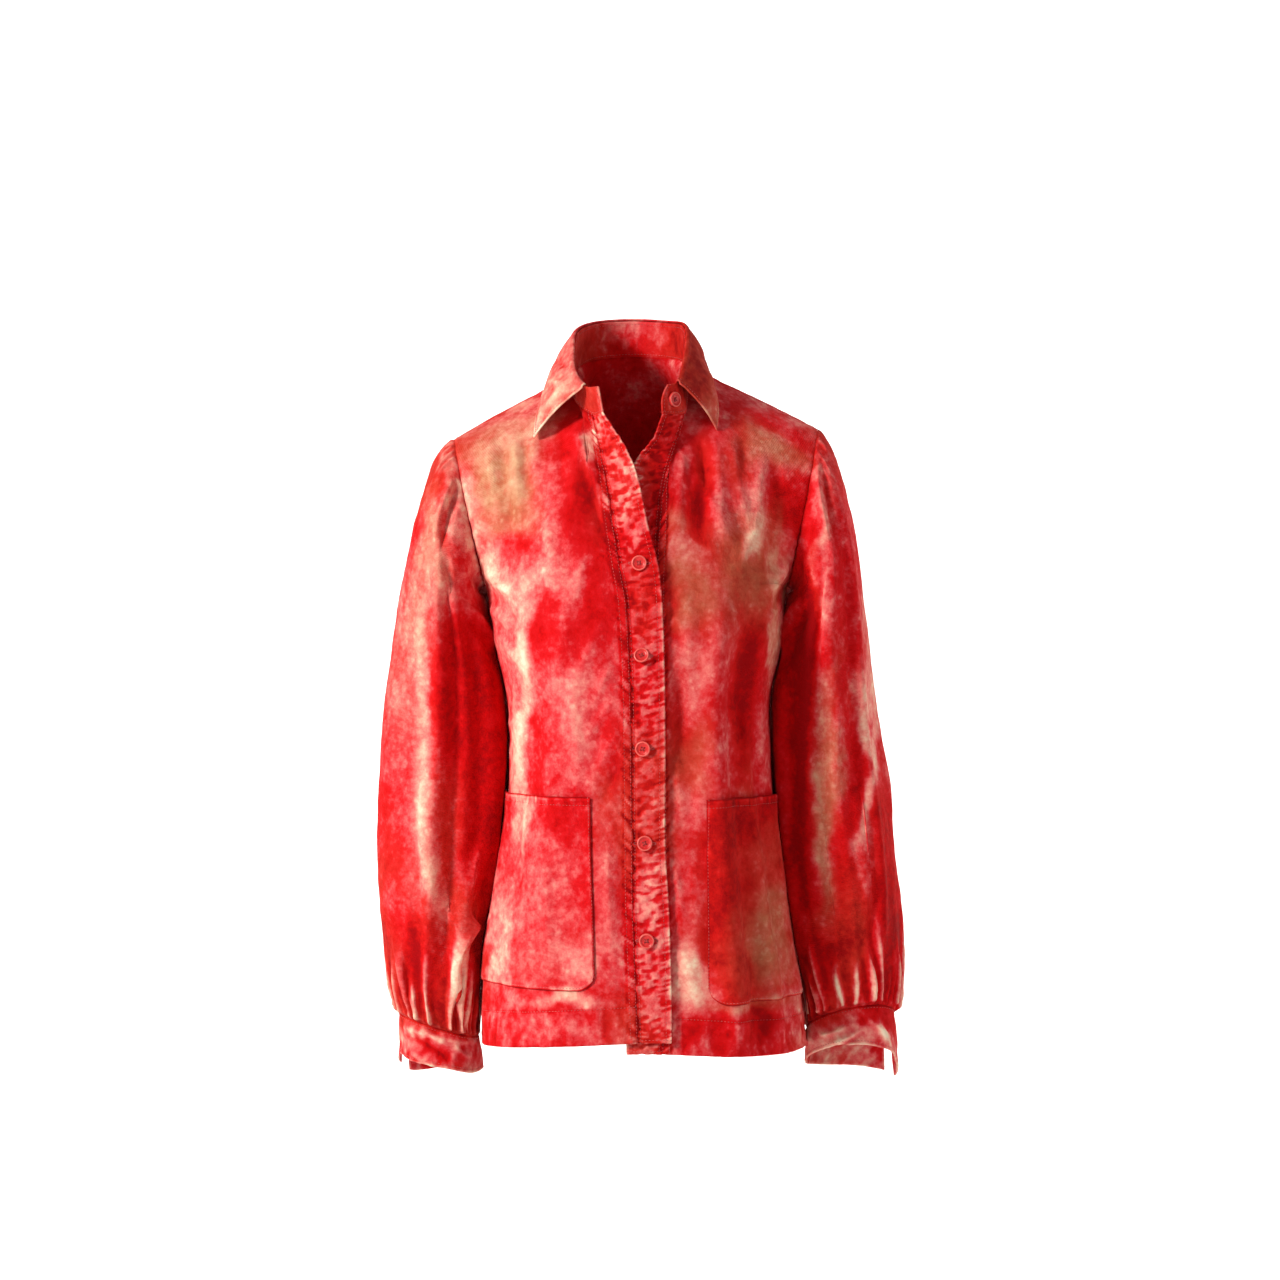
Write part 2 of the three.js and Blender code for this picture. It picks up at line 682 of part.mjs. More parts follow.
/** A closed wall: the sheet, trimmed by half a seam gap, and its copy moved in by the cloth. */
function wall(sheet, cloth, normals, seamGap = SEAM_GAP) {
  const count = sheet.points.length;
  const trim = sheet.points.map(() => vector(0, 0, 0));
  const rim = sheet.rim();
  for (const [from, to, third] of rim) {
    const edge = sheet.points[to].clone().sub(sheet.points[from]).normalize();
    const inward = sheet.points[third].clone().sub(sheet.points[from]);
    inward.addScaledVector(edge, -inward.dot(edge)).normalize();
    trim[from].add(inward);
    trim[to].add(inward);
  }
  // At a corner both of its edges move in by the same distance.
  const outer = sheet.points.map((point, i) => (
    point.clone().addScaledVector(trim[i], seamGap / Math.max(0.5, trim[i].lengthSq()))
  ));
  const inner = outer.map((point, i) => (
    point.clone().addScaledVector(normals[i].shared, -cloth / normals[i].slant)
  ));
  const triangles = [...sheet.triangles];
  for (const [a, b, c] of sheet.triangles) triangles.push([a + count, c + count, b + count]);
  // Both sides of a seam split its faces along the same diagonal.
  const rank = (i) => sheet.points[i].dot(SPLIT_DIRECTION);
  for (const [from, to] of rim) {
    if (rank(from) < rank(to)) {
      triangles.push([to, from, from + count]);
      triangles.push([to, from + count, to + count]);
    } else {
      triangles.push([to, from, to + count]);
      triangles.push([from, from + count, to + count]);
    }
  }
  const geometry = new THREE.BufferGeometry();
  const positions = [...outer, ...inner].flatMap((point) => point.toArray());
  geometry.setAttribute("position", new THREE.Float32BufferAttribute(positions, 3));
  geometry.setIndex(triangles.flat());
  geometry.computeVertexNormals();
  return geometry;
}

const cotton = (colour) => (
  new THREE.MeshStandardMaterial({ color: colour, roughness: 0.9, metalness: 0 })
);
const plastic = new THREE.MeshStandardMaterial({ color: 0xa8161c, roughness: 0.3, metalness: 0 });

const shirt = new THREE.Group();
const addPiece = (name, geometry, material) => {
  const mesh = new THREE.Mesh(geometry, material);
  mesh.name = name;
  shirt.add(mesh);
  return mesh;
};

// Rows run down from the shoulder seams to the underarm, and on from there to the hem.
const BODY_ROWS = [...steps(ARMHOLE_STEPS), ...steps(SKIRT_STEPS, 1, 2).slice(1)];
const FRONT_SHARES = steps(FRONT_COLUMNS);
const BACK_COLUMNS = BACK_NECK_COLUMNS + 2 * SHOULDER_COLUMNS;

const frontSheet = (side) => sheetOf(
  BODY_ROWS,
  () => FRONT_SHARES,
  (across, down) => frontPoint(side, across, down),
  { flip: side.sign > 0 },
);

const bandSheet = (side) => sheetOf(
  BODY_ROWS,
  () => steps(BAND_COLUMNS),
  (across, down) => bandPoint(side, across, down),
  { flip: side.sign < 0 },
);

const backSheet = () => sheetOf(BODY_ROWS, () => steps(BACK_COLUMNS, -1, 1), backPoint);

// The stand's columns meet those of the bands, the fronts and the back.
const STAND_SHARES = [
  ...steps(BAND_COLUMNS, SIDES.right.freeShare, SIDES.right.seamShare),
  ...steps(NECK_COLUMNS, SIDES.right.seamShare, SIDES.right.shoulderShare).slice(1),
  ...steps(BACK_NECK_COLUMNS, SIDES.right.shoulderShare, SIDES.left.shoulderShare).slice(1),
  ...steps(NECK_COLUMNS, SIDES.left.shoulderShare, SIDES.left.seamShare).slice(1),
  ...steps(BAND_COLUMNS, SIDES.left.seamShare, SIDES.left.freeShare).slice(1),
];

const standSheet = () => sheetOf([1, 0.5, 0], () => STAND_SHARES, standPoint);

// The leaf rolls over the stand's top in its first rows.
const LEAF_ROWS = [0, 0.07, 0.14, 0.38, 0.6, 0.8, 1];

const leafSheet = () => sheetOf(
  LEAF_ROWS,
  () => steps(LEAF_COLUMNS, SIDES.right.seamShare, SIDES.left.seamShare),
  leafPoint,
);

// Sections of the sleeve, with finer ones where its head is eased in and its end is gathered.
const COARSE = 2 * ARMHOLE_STEPS;
const FINE = 2 * COARSE;
const SLEEVE_ROWS = table("at columns", [
  [0, COARSE],
  [0.5, FINE],
  [1.1, FINE],
  [2, FINE],
  [2.8, COARSE],
  [3.7, COARSE],
  [4.6, COARSE],
  [5.6, COARSE],
  [6.6, COARSE],
  [7.6, COARSE],
  [8.4, FINE],
  [9.1, FINE],
  [9.7, FINE],
  [10.2, FINE],
  [10.65, FINE],
  [SLEEVE_END, COARSE],
]);

const sleeveSheet = (side) => sheetOf(
  SLEEVE_ROWS,
  (row) => steps(row.columns, 0, 360).slice(0, -1),
  (degrees, row) => sleevePoint(side, row.at, degrees),
  { closed: true, flip: side.sign < 0 },
);

// A cuff goes all round but for one column, the slit on its outer side towards the back.
const SLIT_COLUMN = 26;
const CUFF_TURN = 360 / COARSE;

const cuffSheet = (side) => sheetOf(
  steps(3),
  () => steps(COARSE - 1, SLIT_COLUMN * CUFF_TURN, (SLIT_COLUMN + COARSE - 1) * CUFF_TURN),
  (degrees, height) => cuffPoint(side, degrees % 360, height),
  { flip: side.sign < 0 },
);

const sewn = {
  back: [backSheet(), CLOTH, 0xc23a3c],
  front_right: [frontSheet(SIDES.right), CLOTH, 0xcf2f33],
  front_left: [frontSheet(SIDES.left), CLOTH, 0xc92c2a],
  band_right: [bandSheet(SIDES.right), BAND_CLOTH, 0xd43a38],
  band_left: [bandSheet(SIDES.left), BAND_CLOTH, 0xb9252a, BENT_SEAM_GAP],
  collar_stand: [standSheet(), BAND_CLOTH, 0xc8302f, BENT_SEAM_GAP],
  sleeve_right: [sleeveSheet(SIDES.right), CLOTH, 0xcc2f3a, BENT_SEAM_GAP],
  sleeve_left: [sleeveSheet(SIDES.left), CLOTH, 0xb8283a, BENT_SEAM_GAP],
  cuff_right: [cuffSheet(SIDES.right), BAND_CLOTH, 0xc23552],
  cuff_left: [cuffSheet(SIDES.left), BAND_CLOTH, 0xc94a45],
};
const sewnSheets = Object.values(sewn).map(([sheet]) => sheet);
const seamNormals = sewnNormals(sewnSheets);
Object.entries(sewn).forEach(([name, [sheet, cloth, colour, seamGap]], i) => {
  addPiece(name, wall(sheet, cloth, seamNormals[i], seamGap), cotton(colour));
});

const leaf = leafSheet();
addPiece("collar_leaf", wall(leaf, LEAF_CLOTH, sewnNormals([leaf])[0]), cotton(0xd5453c));

/** The unit normal of a surface that is a function of two values. */
function normalOf(surface, u, v, outward) {
  const STEP = 0.004;
  const across = surface(u + STEP, v).sub(surface(u - STEP, v));
  const normal = across.cross(surface(u, v + STEP).sub(surface(u, v - STEP))).normalize();
  return normal.dot(outward) < 0 ? normal.negate() : normal;
}

/** The share of a front's width at which it passes an X, at a drop below the underarm. */
function acrossAt(side, x, drop) {
  const body = bodyAt(drop);
  const outer = vector(side.sign * (side.sign < 0 ? body.right : body.left), SIDE_Y, -drop);
  const oval = rowOval(outer, -frontAt(drop).front, 1);
  const seamTurn = oval.turnAt(side.bandAt(drop).seam);
  return (oval.turnAt(x) - seamTurn) / (oval.endTurn - seamTurn);
}

const downAt = (side, across, drop) => (
  drop < UNDERARM_DROP
    ? (drop - NECK_DROP) / (UNDERARM_DROP - NECK_DROP)
    : 1 + (drop - UNDERARM_DROP) / (side.hemAt(across).drop - UNDERARM_DROP)
);

/** A front as its facets lie, between the four nearest of its points. */
function facetPoint(side, across, down) {
  const column = across * FRONT_COLUMNS;
  const row = down <= 1 ? down * ARMHOLE_STEPS : ARMHOLE_STEPS + (down - 1) * SKIRT_STEPS;
  const left = Math.min(Math.floor(column), FRONT_COLUMNS - 1);
  const high = Math.min(Math.floor(row), BODY_ROWS.length - 2);
  const corner = (i, j) => frontPoint(side, FRONT_SHARES[left + i], BODY_ROWS[high + j]);
  const upper = corner(0, 0).lerp(corner(1, 0), column - left);
  return upper.lerp(corner(0, 1).lerp(corner(1, 1), column - left), row - high);
}

// A patch pocket runs from its inner edge to the side seam. Its columns are the front's own.
const POCKET_STEPS = 8;
const POCKET_CORNER = 16;
const POCKET_SEAM_SHARE = 0.985;
const POCKET_EDGE_COLUMN = 0.35;
const FRONT_ROW_LENGTH = 200;

function pocketSheet(side) {
  const { top, bottom, innerTop, innerBottom } = side.pocket;
  const front = (across, down) => frontPoint(side, across, down);
  const first = Math.ceil(acrossAt(side, innerTop, top) * FRONT_COLUMNS);
  const columns = [
    (inner) => inner,
    (inner) => mix(inner, first / FRONT_COLUMNS, POCKET_EDGE_COLUMN),
    ...FRONT_SHARES.slice(first, -1).map((share) => () => share),
    () => POCKET_SEAM_SHARE,
  ];
  const pocketPoint = (column, down) => {
    const level = mix(top, bottom, down);
    const inner = acrossAt(side, mix(innerTop, innerBottom, down), level);
    const across = column(inner);
    const inset = Math.max(0, POCKET_CORNER - (across - inner) * FRONT_ROW_LENGTH);
    const cut = POCKET_CORNER - Math.sqrt(POCKET_CORNER ** 2 - inset ** 2);
    const row = downAt(side, across, level - cut * down);
    const normal = normalOf(front, across, row, vector(side.sign, -1, 0));
    return facetPoint(side, across, row).addScaledVector(normal, LAID_GAP + CLOTH);
  };
  return sheetOf(steps(POCKET_STEPS), () => columns, pocketPoint, { flip: side.sign > 0 });
}

for (const [name, side] of Object.entries(SIDES)) {
  const sheet = pocketSheet(side);
  addPiece(`pocket_${name}`, wall(sheet, CLOTH, sewnNormals([sheet])[0]), cotton(0xb42a38));
}

// A button has a flat back, a rounded rim and a dished middle.
const BUTTON_PROFILE = [
  [0, 0],
  [0.86, 0],
  [1, 0.25],
  [1, 0.7],
  [0.88, 1],
  [0.72, 0.95],
  [0.62, 0.6],
  [0, 0.6],
].map(([radius, height]) => new THREE.Vector2(radius * BUTTON_RADIUS, height * BUTTON_HEIGHT));
const BUTTON_SIDES = 14;
const button = new THREE.LatheGeometry(BUTTON_PROFILE, BUTTON_SIDES);
const BUTTON_SEAT = 0.35;

/** Sews a button flat on a surface at two of that surface's own values. */
function addButton(name, surface, u, v, outward) {
  const mesh = addPiece(name, button, plastic);
  const normal = normalOf(surface, u, v, outward);
  mesh.position.copy(surface(u, v)).addScaledVector(normal, BUTTON_SEAT);
  mesh.quaternion.setFromUnitVectors(vector(0, 1, 0), normal);
}

const FRONT_BUTTONS = table("drop x", [
  [202.6, 2.3],
  [289.3, 4.7],
  [376, 6],
  [464.7, 7.5],
  [555, 9.3],
]);
FRONT_BUTTONS.forEach(({ drop, x }, i) => {
  const { seam, edge } = SIDES.right.bandAt(drop);
  const band = (across, down) => bandPoint(SIDES.right, across, down);
  const down = downAt(SIDES.right, 0, drop);
  addButton(`button_${i + 1}`, band, (x - seam) / (edge - seam), down, vector(0, -1, 0));
});
const STAND_BUTTON_SHARE = 0.955;
const STAND_BUTTON_HEIGHT = 0.5;
addButton(
  "button_stand",
  standPoint,
  STAND_BUTTON_SHARE,
  STAND_BUTTON_HEIGHT,
  vector(SIDES.left.sign, -1, 0),
);

const CUFF_BUTTON_TURN = 300;
const CUFF_BUTTON_HEIGHT = 0.5;
for (const [name, side] of Object.entries(SIDES)) {
  const cuff = (turns, height) => cuffPoint(side, turns * 360, height);
  const outward = vector(side.sign, 1, 0);
  addButton(`button_cuff_${name}`, cuff, CUFF_BUTTON_TURN / 360, CUFF_BUTTON_HEIGHT, outward);
}

export default shirt;
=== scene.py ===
"""A button-down cotton shirt, hollow and as worn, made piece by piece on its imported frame."""
import math
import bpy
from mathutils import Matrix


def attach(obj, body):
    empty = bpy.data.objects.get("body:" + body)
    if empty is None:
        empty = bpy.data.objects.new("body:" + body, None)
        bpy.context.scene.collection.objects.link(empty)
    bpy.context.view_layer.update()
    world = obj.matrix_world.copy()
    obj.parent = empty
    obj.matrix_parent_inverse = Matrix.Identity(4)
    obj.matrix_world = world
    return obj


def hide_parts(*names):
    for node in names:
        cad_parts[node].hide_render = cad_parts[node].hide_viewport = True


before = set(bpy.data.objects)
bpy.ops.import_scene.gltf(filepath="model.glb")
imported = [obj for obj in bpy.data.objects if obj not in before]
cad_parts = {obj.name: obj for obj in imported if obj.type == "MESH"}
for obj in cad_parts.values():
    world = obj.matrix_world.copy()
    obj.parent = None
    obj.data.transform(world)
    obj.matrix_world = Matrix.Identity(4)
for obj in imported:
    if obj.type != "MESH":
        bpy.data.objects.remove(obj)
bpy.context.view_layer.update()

from types import SimpleNamespace

import bpy
import numpy as np
from mathutils import Matrix, Vector


# The view. The camera stands level with the waist, two and a half metres in front of the shirt.
# A round cove of matt board closes the room, with the shirt held in the air over its floor.
camera_data = bpy.data.cameras.new("camera")
camera_data.sensor_width = 36
camera_data.lens = 71.7
camera = bpy.data.objects.new("camera", camera_data)
camera.location = (0.003, -2.5, -0.2744)
camera.rotation_euler = (math.radians(90), 0, 0)
bpy.context.scene.collection.objects.link(camera)
bpy.context.scene.camera = camera
bpy.context.scene.view_settings.view_transform = "Standard"

COVE_FLOOR = -1.25
COVE_RADIUS = 6.0
COVE_BEND = 1.2
COVE_TOP = 3.5
COVE_SIDES = 96


def fill(tree, node, inputs):
    """Sets a node's inputs by name or number, each to a constant or to another node's output."""
    for name, value in inputs.items():
        if isinstance(value, bpy.types.NodeSocket):
            tree.links.new(value, node.inputs[name])
        else:
            node.inputs[name].default_value = value


def add_node(tree, kind, inputs={}, **settings):
    node = tree.nodes.new(kind)
    for name, value in settings.items():
        setattr(node, name, value)
    fill(tree, node, inputs)
    return node


def new_finish(name, **constants):
    """A material, its tree, its shader with constants set, and the place on the object."""
    material = bpy.data.materials.new(name)
    material.use_nodes = True
    tree = material.node_tree
    shader = tree.nodes["Principled BSDF"]
    fill(tree, shader, {socket.replace("_", " "): value for socket, value in constants.items()})
    return material, tree, shader, add_node(tree, "ShaderNodeTexCoord").outputs["Object"]


def lumps(tree, place, scale, detail=2.0, roughness=0.5):
    """Noise from 0 to 1 with so many lumps to the metre."""
    inputs = {"Vector": place, "Scale": scale, "Detail": detail, "Roughness": roughness}
    return add_node(tree, "ShaderNodeTexNoise", inputs).outputs["Fac"]


def ramp(tree, level, *stops):
    """Colours by a level, through stops that each give a level and a colour."""
    node = add_node(tree, "ShaderNodeValToRGB", {"Fac": level})
    elements = node.color_ramp.elements
    for element, (position, colour) in zip(elements, (stops[0], stops[-1])):
        element.position, element.color = position, (*colour, 1)
    for position, colour in stops[1:-1]:
        elements.new(position).color = (*colour, 1)
    return node.outputs["Color"]


def matt_board():
    """Pale board with a faint mottle."""
    material, tree, shader, place = new_finish("matt_board", Roughness=0.9)
    mottle = lumps(tree, place, 3.0)
    colour = ramp(tree, mottle, (0, (0.83, 0.825, 0.81)), (1, (0.88, 0.875, 0.865)))
    fill(tree, shader, {"Base Color": colour})
    return material


cove_line = [(0.0, COVE_FLOOR)] + [
    (
        COVE_RADIUS - COVE_BEND + COVE_BEND * math.sin(turn),
        COVE_FLOOR + COVE_BEND - COVE_BEND * math.cos(turn),
    )
    for turn in np.linspace(0, math.pi / 2, 13)
] + [(COVE_RADIUS, COVE_TOP)]
cove_points = [
    (radius * math.cos(turn), radius * math.sin(turn), height)
    for radius, height in cove_line
    for turn in np.linspace(0, 2 * math.pi, COVE_SIDES, endpoint=False)
]
cove_faces = [
    (
        row * COVE_SIDES + side,
        row * COVE_SIDES + (side + 1) % COVE_SIDES,
        (row + 1) * COVE_SIDES + (side + 1) % COVE_SIDES,
        (row + 1) * COVE_SIDES + side,
    )
    for row in range(len(cove_line) - 1)
    for side in range(COVE_SIDES)
]
cove_mesh = bpy.data.meshes.new("cove")
cove_mesh.from_pydata(cove_points, [], cove_faces)
cove_mesh.materials.append(matt_board())
cove_mesh.shade_smooth()
cove = bpy.data.objects.new("cove", cove_mesh)
bpy.context.scene.collection.objects.link(cove)

world = bpy.data.worlds.new("room")
world.use_nodes = True
world.node_tree.nodes["Background"].inputs["Color"].default_value = (1.0, 0.985, 0.96, 1)
world.node_tree.nodes["Background"].inputs["Strength"].default_value = 0.16
bpy.context.scene.world = world


def soft_light(name, place, target, size, power, colour):
    """A square soft box that faces a target."""
    data = bpy.data.lights.new(name, "AREA")
    data.shape = "SQUARE"
    data.size = size
    data.energy = power
    data.color = colour
    light = bpy.data.objects.new(name, data)
    light.location = place
    direction = Vector(target) - Vector(place)
    light.rotation_euler = direction.to_track_quat("-Z", "Y").to_euler()
    bpy.context.scene.collection.objects.link(light)


soft_light("window", (-2.48, -1.82, 1.0), (0, 0, -0.33), 0.6, 125, (1.0, 0.96, 0.89))
soft_light("side_fill", (2.7, -1.0, -0.1), (0.15, 0, -0.45), 0.8, 11, (1.0, 0.95, 0.9))
soft_light("back_fill", (2.4, 1.7, 0.9), (0, 0, -0.35), 0.7, 22, (1.0, 0.97, 0.93))
soft_light("wall_wash", (0, 2.4, 2.6), (0, 5.6, -0.4), 3.0, 300, (1.0, 0.99, 0.97))


# The back: one piece of cotton twill from side seam to side seam, hemmed with a deep double turn.
# It is sewn to the fronts at the shoulders and sides, and to the sleeves and the collar stand.

# Its cut follows the shirt's own girths, neckline, shoulders and armholes, in millimetres as on
# a paper pattern. A drop is a distance below the middle of the neck opening.
SIDE_Y = 3
ROUNDNESS = 2.3
SLEEVE_ROUNDNESS = 2.15
SHOULDER_ROUNDNESS = 1.4
NECK_DROP = 60
UNDERARM_DROP = 222
YOKE_REACH = 0.85
YOKE_SOFTENING = 0.3
NECK_SHARE = 0.25
BACK_NECK_SHARE = 10 / 34


def mix(low, high, share):
    return low + (high - low) * share


def smooth(value, low, high):
    """Rises softly from 0 at the low value to 1 at the high one."""
    share = np.clip((value - low) / (high - low), 0, 1)
    return share * share * (3 - 2 * share)


def signed_power(value, power):
    return np.sign(value) * np.abs(value) ** power


def table(heading, rows):
    """Rows of numbers as things with the heading's names."""
    names = heading.split()
    return [SimpleNamespace(**dict(zip(names, row))) for row in rows]


def curve(heading, rows):
    """A smooth curve through a table's rows, held at both ends. The first column is its key."""
    names = heading.split()[1:]
    values = np.array(rows, float)
    keys = values[:, 0]
    before = np.maximum(np.arange(len(keys)) - 1, 0)
    after = np.minimum(np.arange(len(keys)) + 1, len(keys) - 1)
    slopes = (values[after] - values[before]) / (keys[after] - keys[before])[:, None]

    def at(place):
        held = np.clip(place, keys[0], keys[-1])
        i = np.clip(np.searchsorted(keys, held) - 1, 0, len(keys) - 2)
        span = keys[i + 1] - keys[i]
        u = (held - keys[i]) / span
        rise = u * u * (3 - 2 * u)
        leave, arrive = span * u * (1 - u) ** 2, span * u * u * (u - 1)
        return SimpleNamespace(**{
            name: values[i, c] * (1 - rise) + values[i + 1, c] * rise
            + slopes[i, c] * leave + slopes[i + 1, c] * arrive
            for c, name in enumerate(names, 1)
        })

    return at


body_at = curve("drop right left back", [
    [222, 148, 147, 98], [276, 139, 142, 97], [330, 127, 130, 95], [372, 124, 130, 94],
    [430, 127, 134, 97], [500, 135, 142, 104], [565, 147, 151, 110], [615, 151, 160, 113],
    [668, 152, 166, 116],
])
back_middle_at = curve("share y z", [
    [0, 58, 10], [0.15, 78, -15], [0.3, 92, -50], [0.5, 100, -100], [0.75, 100, -165],
    [1, 98, -222],
])
neck_at = curve("share x y z top_x top_y top_z", [
    [0, -33, -95, -60, -37, -97, -36], [0.08, -42, -74, -60, -49, -78, -34],
    [0.17, -59, -54, -46, -59, -60, -18], [0.27, -63, -28, -28, -61, -34, 5],
    [0.36, -62, -2, -12, -59, -5, 26], [0.43, -46, 40, 4, -43, 36, 39],
    [0.5, -6, 58, 10, -6, 54, 44], [0.57, 34, 40, 6, 31, 36, 40],
    [0.64, 49, -2, -4, 46, -5, 32], [0.73, 51, -28, -21, 48, -34, 12],
    [0.83, 49, -54, -42, 44, -60, -13], [0.92, 45, -72, -58, 38, -77, -30],
    [1, 25, -90, -61, 22, -93, -34],
])
RIGHT = SimpleNamespace(
    label="right", sign=-1, seed=0, seam_share=0.08, shoulder_share=0.36, free_share=0, tuck=0,
    hem_at=curve("across drop", [[0, 650], [0.5, 659], [1, 668]]),
    sleeve_at=curve("at outer outer_drop inner inner_drop front back rise", [
        [0, 179, 77, 148, 222, 48, 54, 0], [1, 193, 92, 153, 225, 55, 58, 0],
        [2, 205, 118, 155, 233, 59, 61, 0], [3, 218, 160, 153, 250, 59, 64, 0],
        [4, 230, 215, 142, 277, 56, 68, 0], [5, 241, 285, 126, 330, 50, 72, 0],
        [6, 250, 362, 120, 400, 44, 75, 0], [7, 256, 445, 124, 478, 40, 76, 0],
        [8, 255, 520, 133, 545, 38, 75, 0], [9, 250, 575, 142, 598, 36, 72, 0],
        [10, 243, 618, 151, 640, 30, 62, 0], [11, 235, 640, 156, 664, 22, 48, 0],
    ]),
)
LEFT = SimpleNamespace(
    label="left", sign=1, seed=50, seam_share=0.92, shoulder_share=0.64, free_share=1, tuck=4,
    hem_at=curve("across drop", [[0, 661], [0.5, 667], [1, 668]]),
    sleeve_at=curve("at outer outer_drop inner inner_drop front back rise", [
        [0, 177, 67, 147, 222, 48, 54, 0], [1, 189, 84, 152, 225, 55, 57, 0],
        [2, 200, 112, 154, 233, 59, 60, 0], [3, 212, 160, 153, 250, 59, 63, 0],
        [4, 221, 216, 143, 277, 56, 67, 0], [5, 230, 285, 129, 330, 50, 71, 0],
        [6, 238, 362, 126, 400, 44, 74, 0], [7, 251, 445, 130, 476, 40, 76, 0],
        [8, 258, 520, 140, 545, 38, 75, 0], [9, 261, 578, 150, 600, 36, 72, 5],
        [10, 259, 618, 161, 640, 30, 62, 12], [11, 254, 642, 166, 658, 22, 48, 18],
    ]),
)


def point(x, y, z):
    return np.stack(np.broadcast_arrays(x, y, z), -1).astype(float)


def neck_point(share):
    neck = neck_at(share)
    return point(neck.x, neck.y, neck.z)


def sleeve_ring(side, at, degrees):
    """The sleeve's ring at a section, at an angle from its outer side round by the front."""
    section = side.sleeve_at(at)
    turn = np.radians(degrees)
    outward = (1 + signed_power(np.cos(turn), 2 / SLEEVE_ROUNDNESS)) / 2
    forward = signed_power(np.sin(turn), 2 / SLEEVE_ROUNDNESS)
    return point(
        side.sign * mix(section.inner, section.outer, outward),
        (section.back - section.front) / 2 - forward * (section.back + section.front) / 2,
        -mix(section.inner_drop, section.outer_drop, outward)
        + section.rise * np.maximum(0, forward),
    )


def row_oval(outer, middle_y, down):
    """The oval that a row of the shirt follows, through an outer point and a middle depth."""
    power = mix(SHOULDER_ROUNDNESS, ROUNDNESS, smooth(down, 0, 0.6))
    depth = middle_y - SIDE_Y
    rest = 1 - np.abs((outer[..., 1] - SIDE_Y) / depth) ** power
    width = outer[..., 0] / rest ** (1 / power)
    return SimpleNamespace(
        end_turn=np.arcsin(np.sqrt(rest)),
        turn_at=lambda x: np.arcsin(np.clip(signed_power(x / width, power / 2), -1, 1)),
        point_at=lambda turn: (
            width * signed_power(np.sin(turn), 2 / power),
            SIDE_Y + depth * signed_power(np.cos(turn), 2 / power),
        ),
    )


def side_point(side, drop):
    body = body_at(drop)
    return point(side.sign * (body.right if side.sign < 0 else body.left), SIDE_Y, -drop)


def front_top(side, across):
    """The neckline and shoulder seam along the top of a front."""
    along = np.clip((across - NECK_SHARE) / (1 - NECK_SHARE), 0, 1)[..., None]
    share = mix(side.seam_share, side.shoulder_share, np.minimum(across / NECK_SHARE, 1))
    shoulder = mix(neck_point(side.shoulder_share), sleeve_ring(side, 0, 0), along)
    return np.where((across <= NECK_SHARE)[..., None], neck_point(share), shoulder)


def draw_to_top(points, top_at, row_at, across, down):
    """Draws rows towards the seam above them: forward or back first, and up last."""
    bend = np.minimum(1, down / YOKE_REACH) * math.pi / 2
    spread = np.minimum(YOKE_SOFTENING * down, np.minimum(across, 1 - across))
    pull = lambda place: top_at(place) - row_at(place, 0 * place)[0]
    mean = (pull(across - spread) + pull(across + spread)) / 4 + pull(across) / 2
    share = np.stack([np.cos(bend), 1 - np.sin(bend), np.cos(bend)], -1)
    return points + mean * share


def long_folds(rows):
    """Folds by drop and by turn in degrees, which starts at the middle of the front."""
    return table("start start_turn end end_turn lift width", rows)


BODY_FOLDS = long_folds([
    [215, 27, 690, 33, 8, 6], [230, 38, 690, 43, -6, 6], [300, 50, 680, 54, 4, 6],
    [330, 61, 670, 63, -3.5, 6], [95, -27, 215, -31, 3.5, 6], [240, -24, 640, -20, -2.5, 7],
    [300, -38, 600, -44, 3, 8], [330, -62, 660, -60, -3, 8], [380, 74, 690, 73, 2.5, 6],
    [420, -76, 690, -75, 2, 6], [150, 40, 250, 34, 2.5, 7], [250, 112, 690, 118, 4, 8],
    [280, 131, 690, 134, -5, 8], [230, 152, 690, 150, 5, 8], [330, 168, 690, 170, -4, 8],
    [260, -113, 690, -117, 4, 8], [300, -133, 690, -131, -5, 8], [240, -154, 690, -152, 5, 8],
    [320, -170, 690, -172, -3, 7],
])


def fold_lift(folds, turn, drop):
    """How far long folds lift the cloth. Each swells from its start and dies away at its end."""
    lift = 0
    for fold in folds:
        along = np.clip((drop - fold.start) / (fold.end - fold.start), 0, 1)
        off = (turn - mix(fold.start_turn, fold.end_turn, along)) / fold.width
        ends = smooth(drop, fold.start, fold.start + 70)
        ends = ends * (1 - smooth(drop, fold.end - 70, fold.end))
        lift = lift + fold.lift * np.exp(-off * off) * ends
    return lift


def fold_freedom(across, down):
    return np.where(down > 1, 1, smooth(down, 0.05, 0.5) * (1 - across ** 8))


def back_row(side, across, down):
    across, down = np.broadcast_arrays(across, down)
    upper = down <= 1
    middle = back_middle_at(np.clip(down, 0, 1))
    drop = np.where(upper, -middle.z, mix(UNDERARM_DROP, side.hem_at(1).drop, down - 1))
    arm = sleeve_ring(side, 0, 360 - 180 * np.clip(down, 0, 1))
    outer = np.where(upper[..., None], arm, side_point(side, drop))
    oval = row_oval(outer, np.where(upper, middle.y, body_at(drop).back), down)
    turn = across * oval.end_turn
    x, y = oval.point_at(turn)
    z = mix(-drop, outer[..., 2], (x / outer[..., 0]) ** 2)
    return point(x, y, z), turn, drop


def back_top(side, across):
    along = np.clip((across - BACK_NECK_SHARE) / (1 - BACK_NECK_SHARE), 0, 1)
    share = 0.5 + side.sign * np.minimum(across / BACK_NECK_SHARE, 1) * (LEFT.shoulder_share - 0.5)
    shoulder = front_top(side, mix(NECK_SHARE, 1, along))
    return np.where((across <= BACK_NECK_SHARE)[..., None], neck_point(share), shoulder)


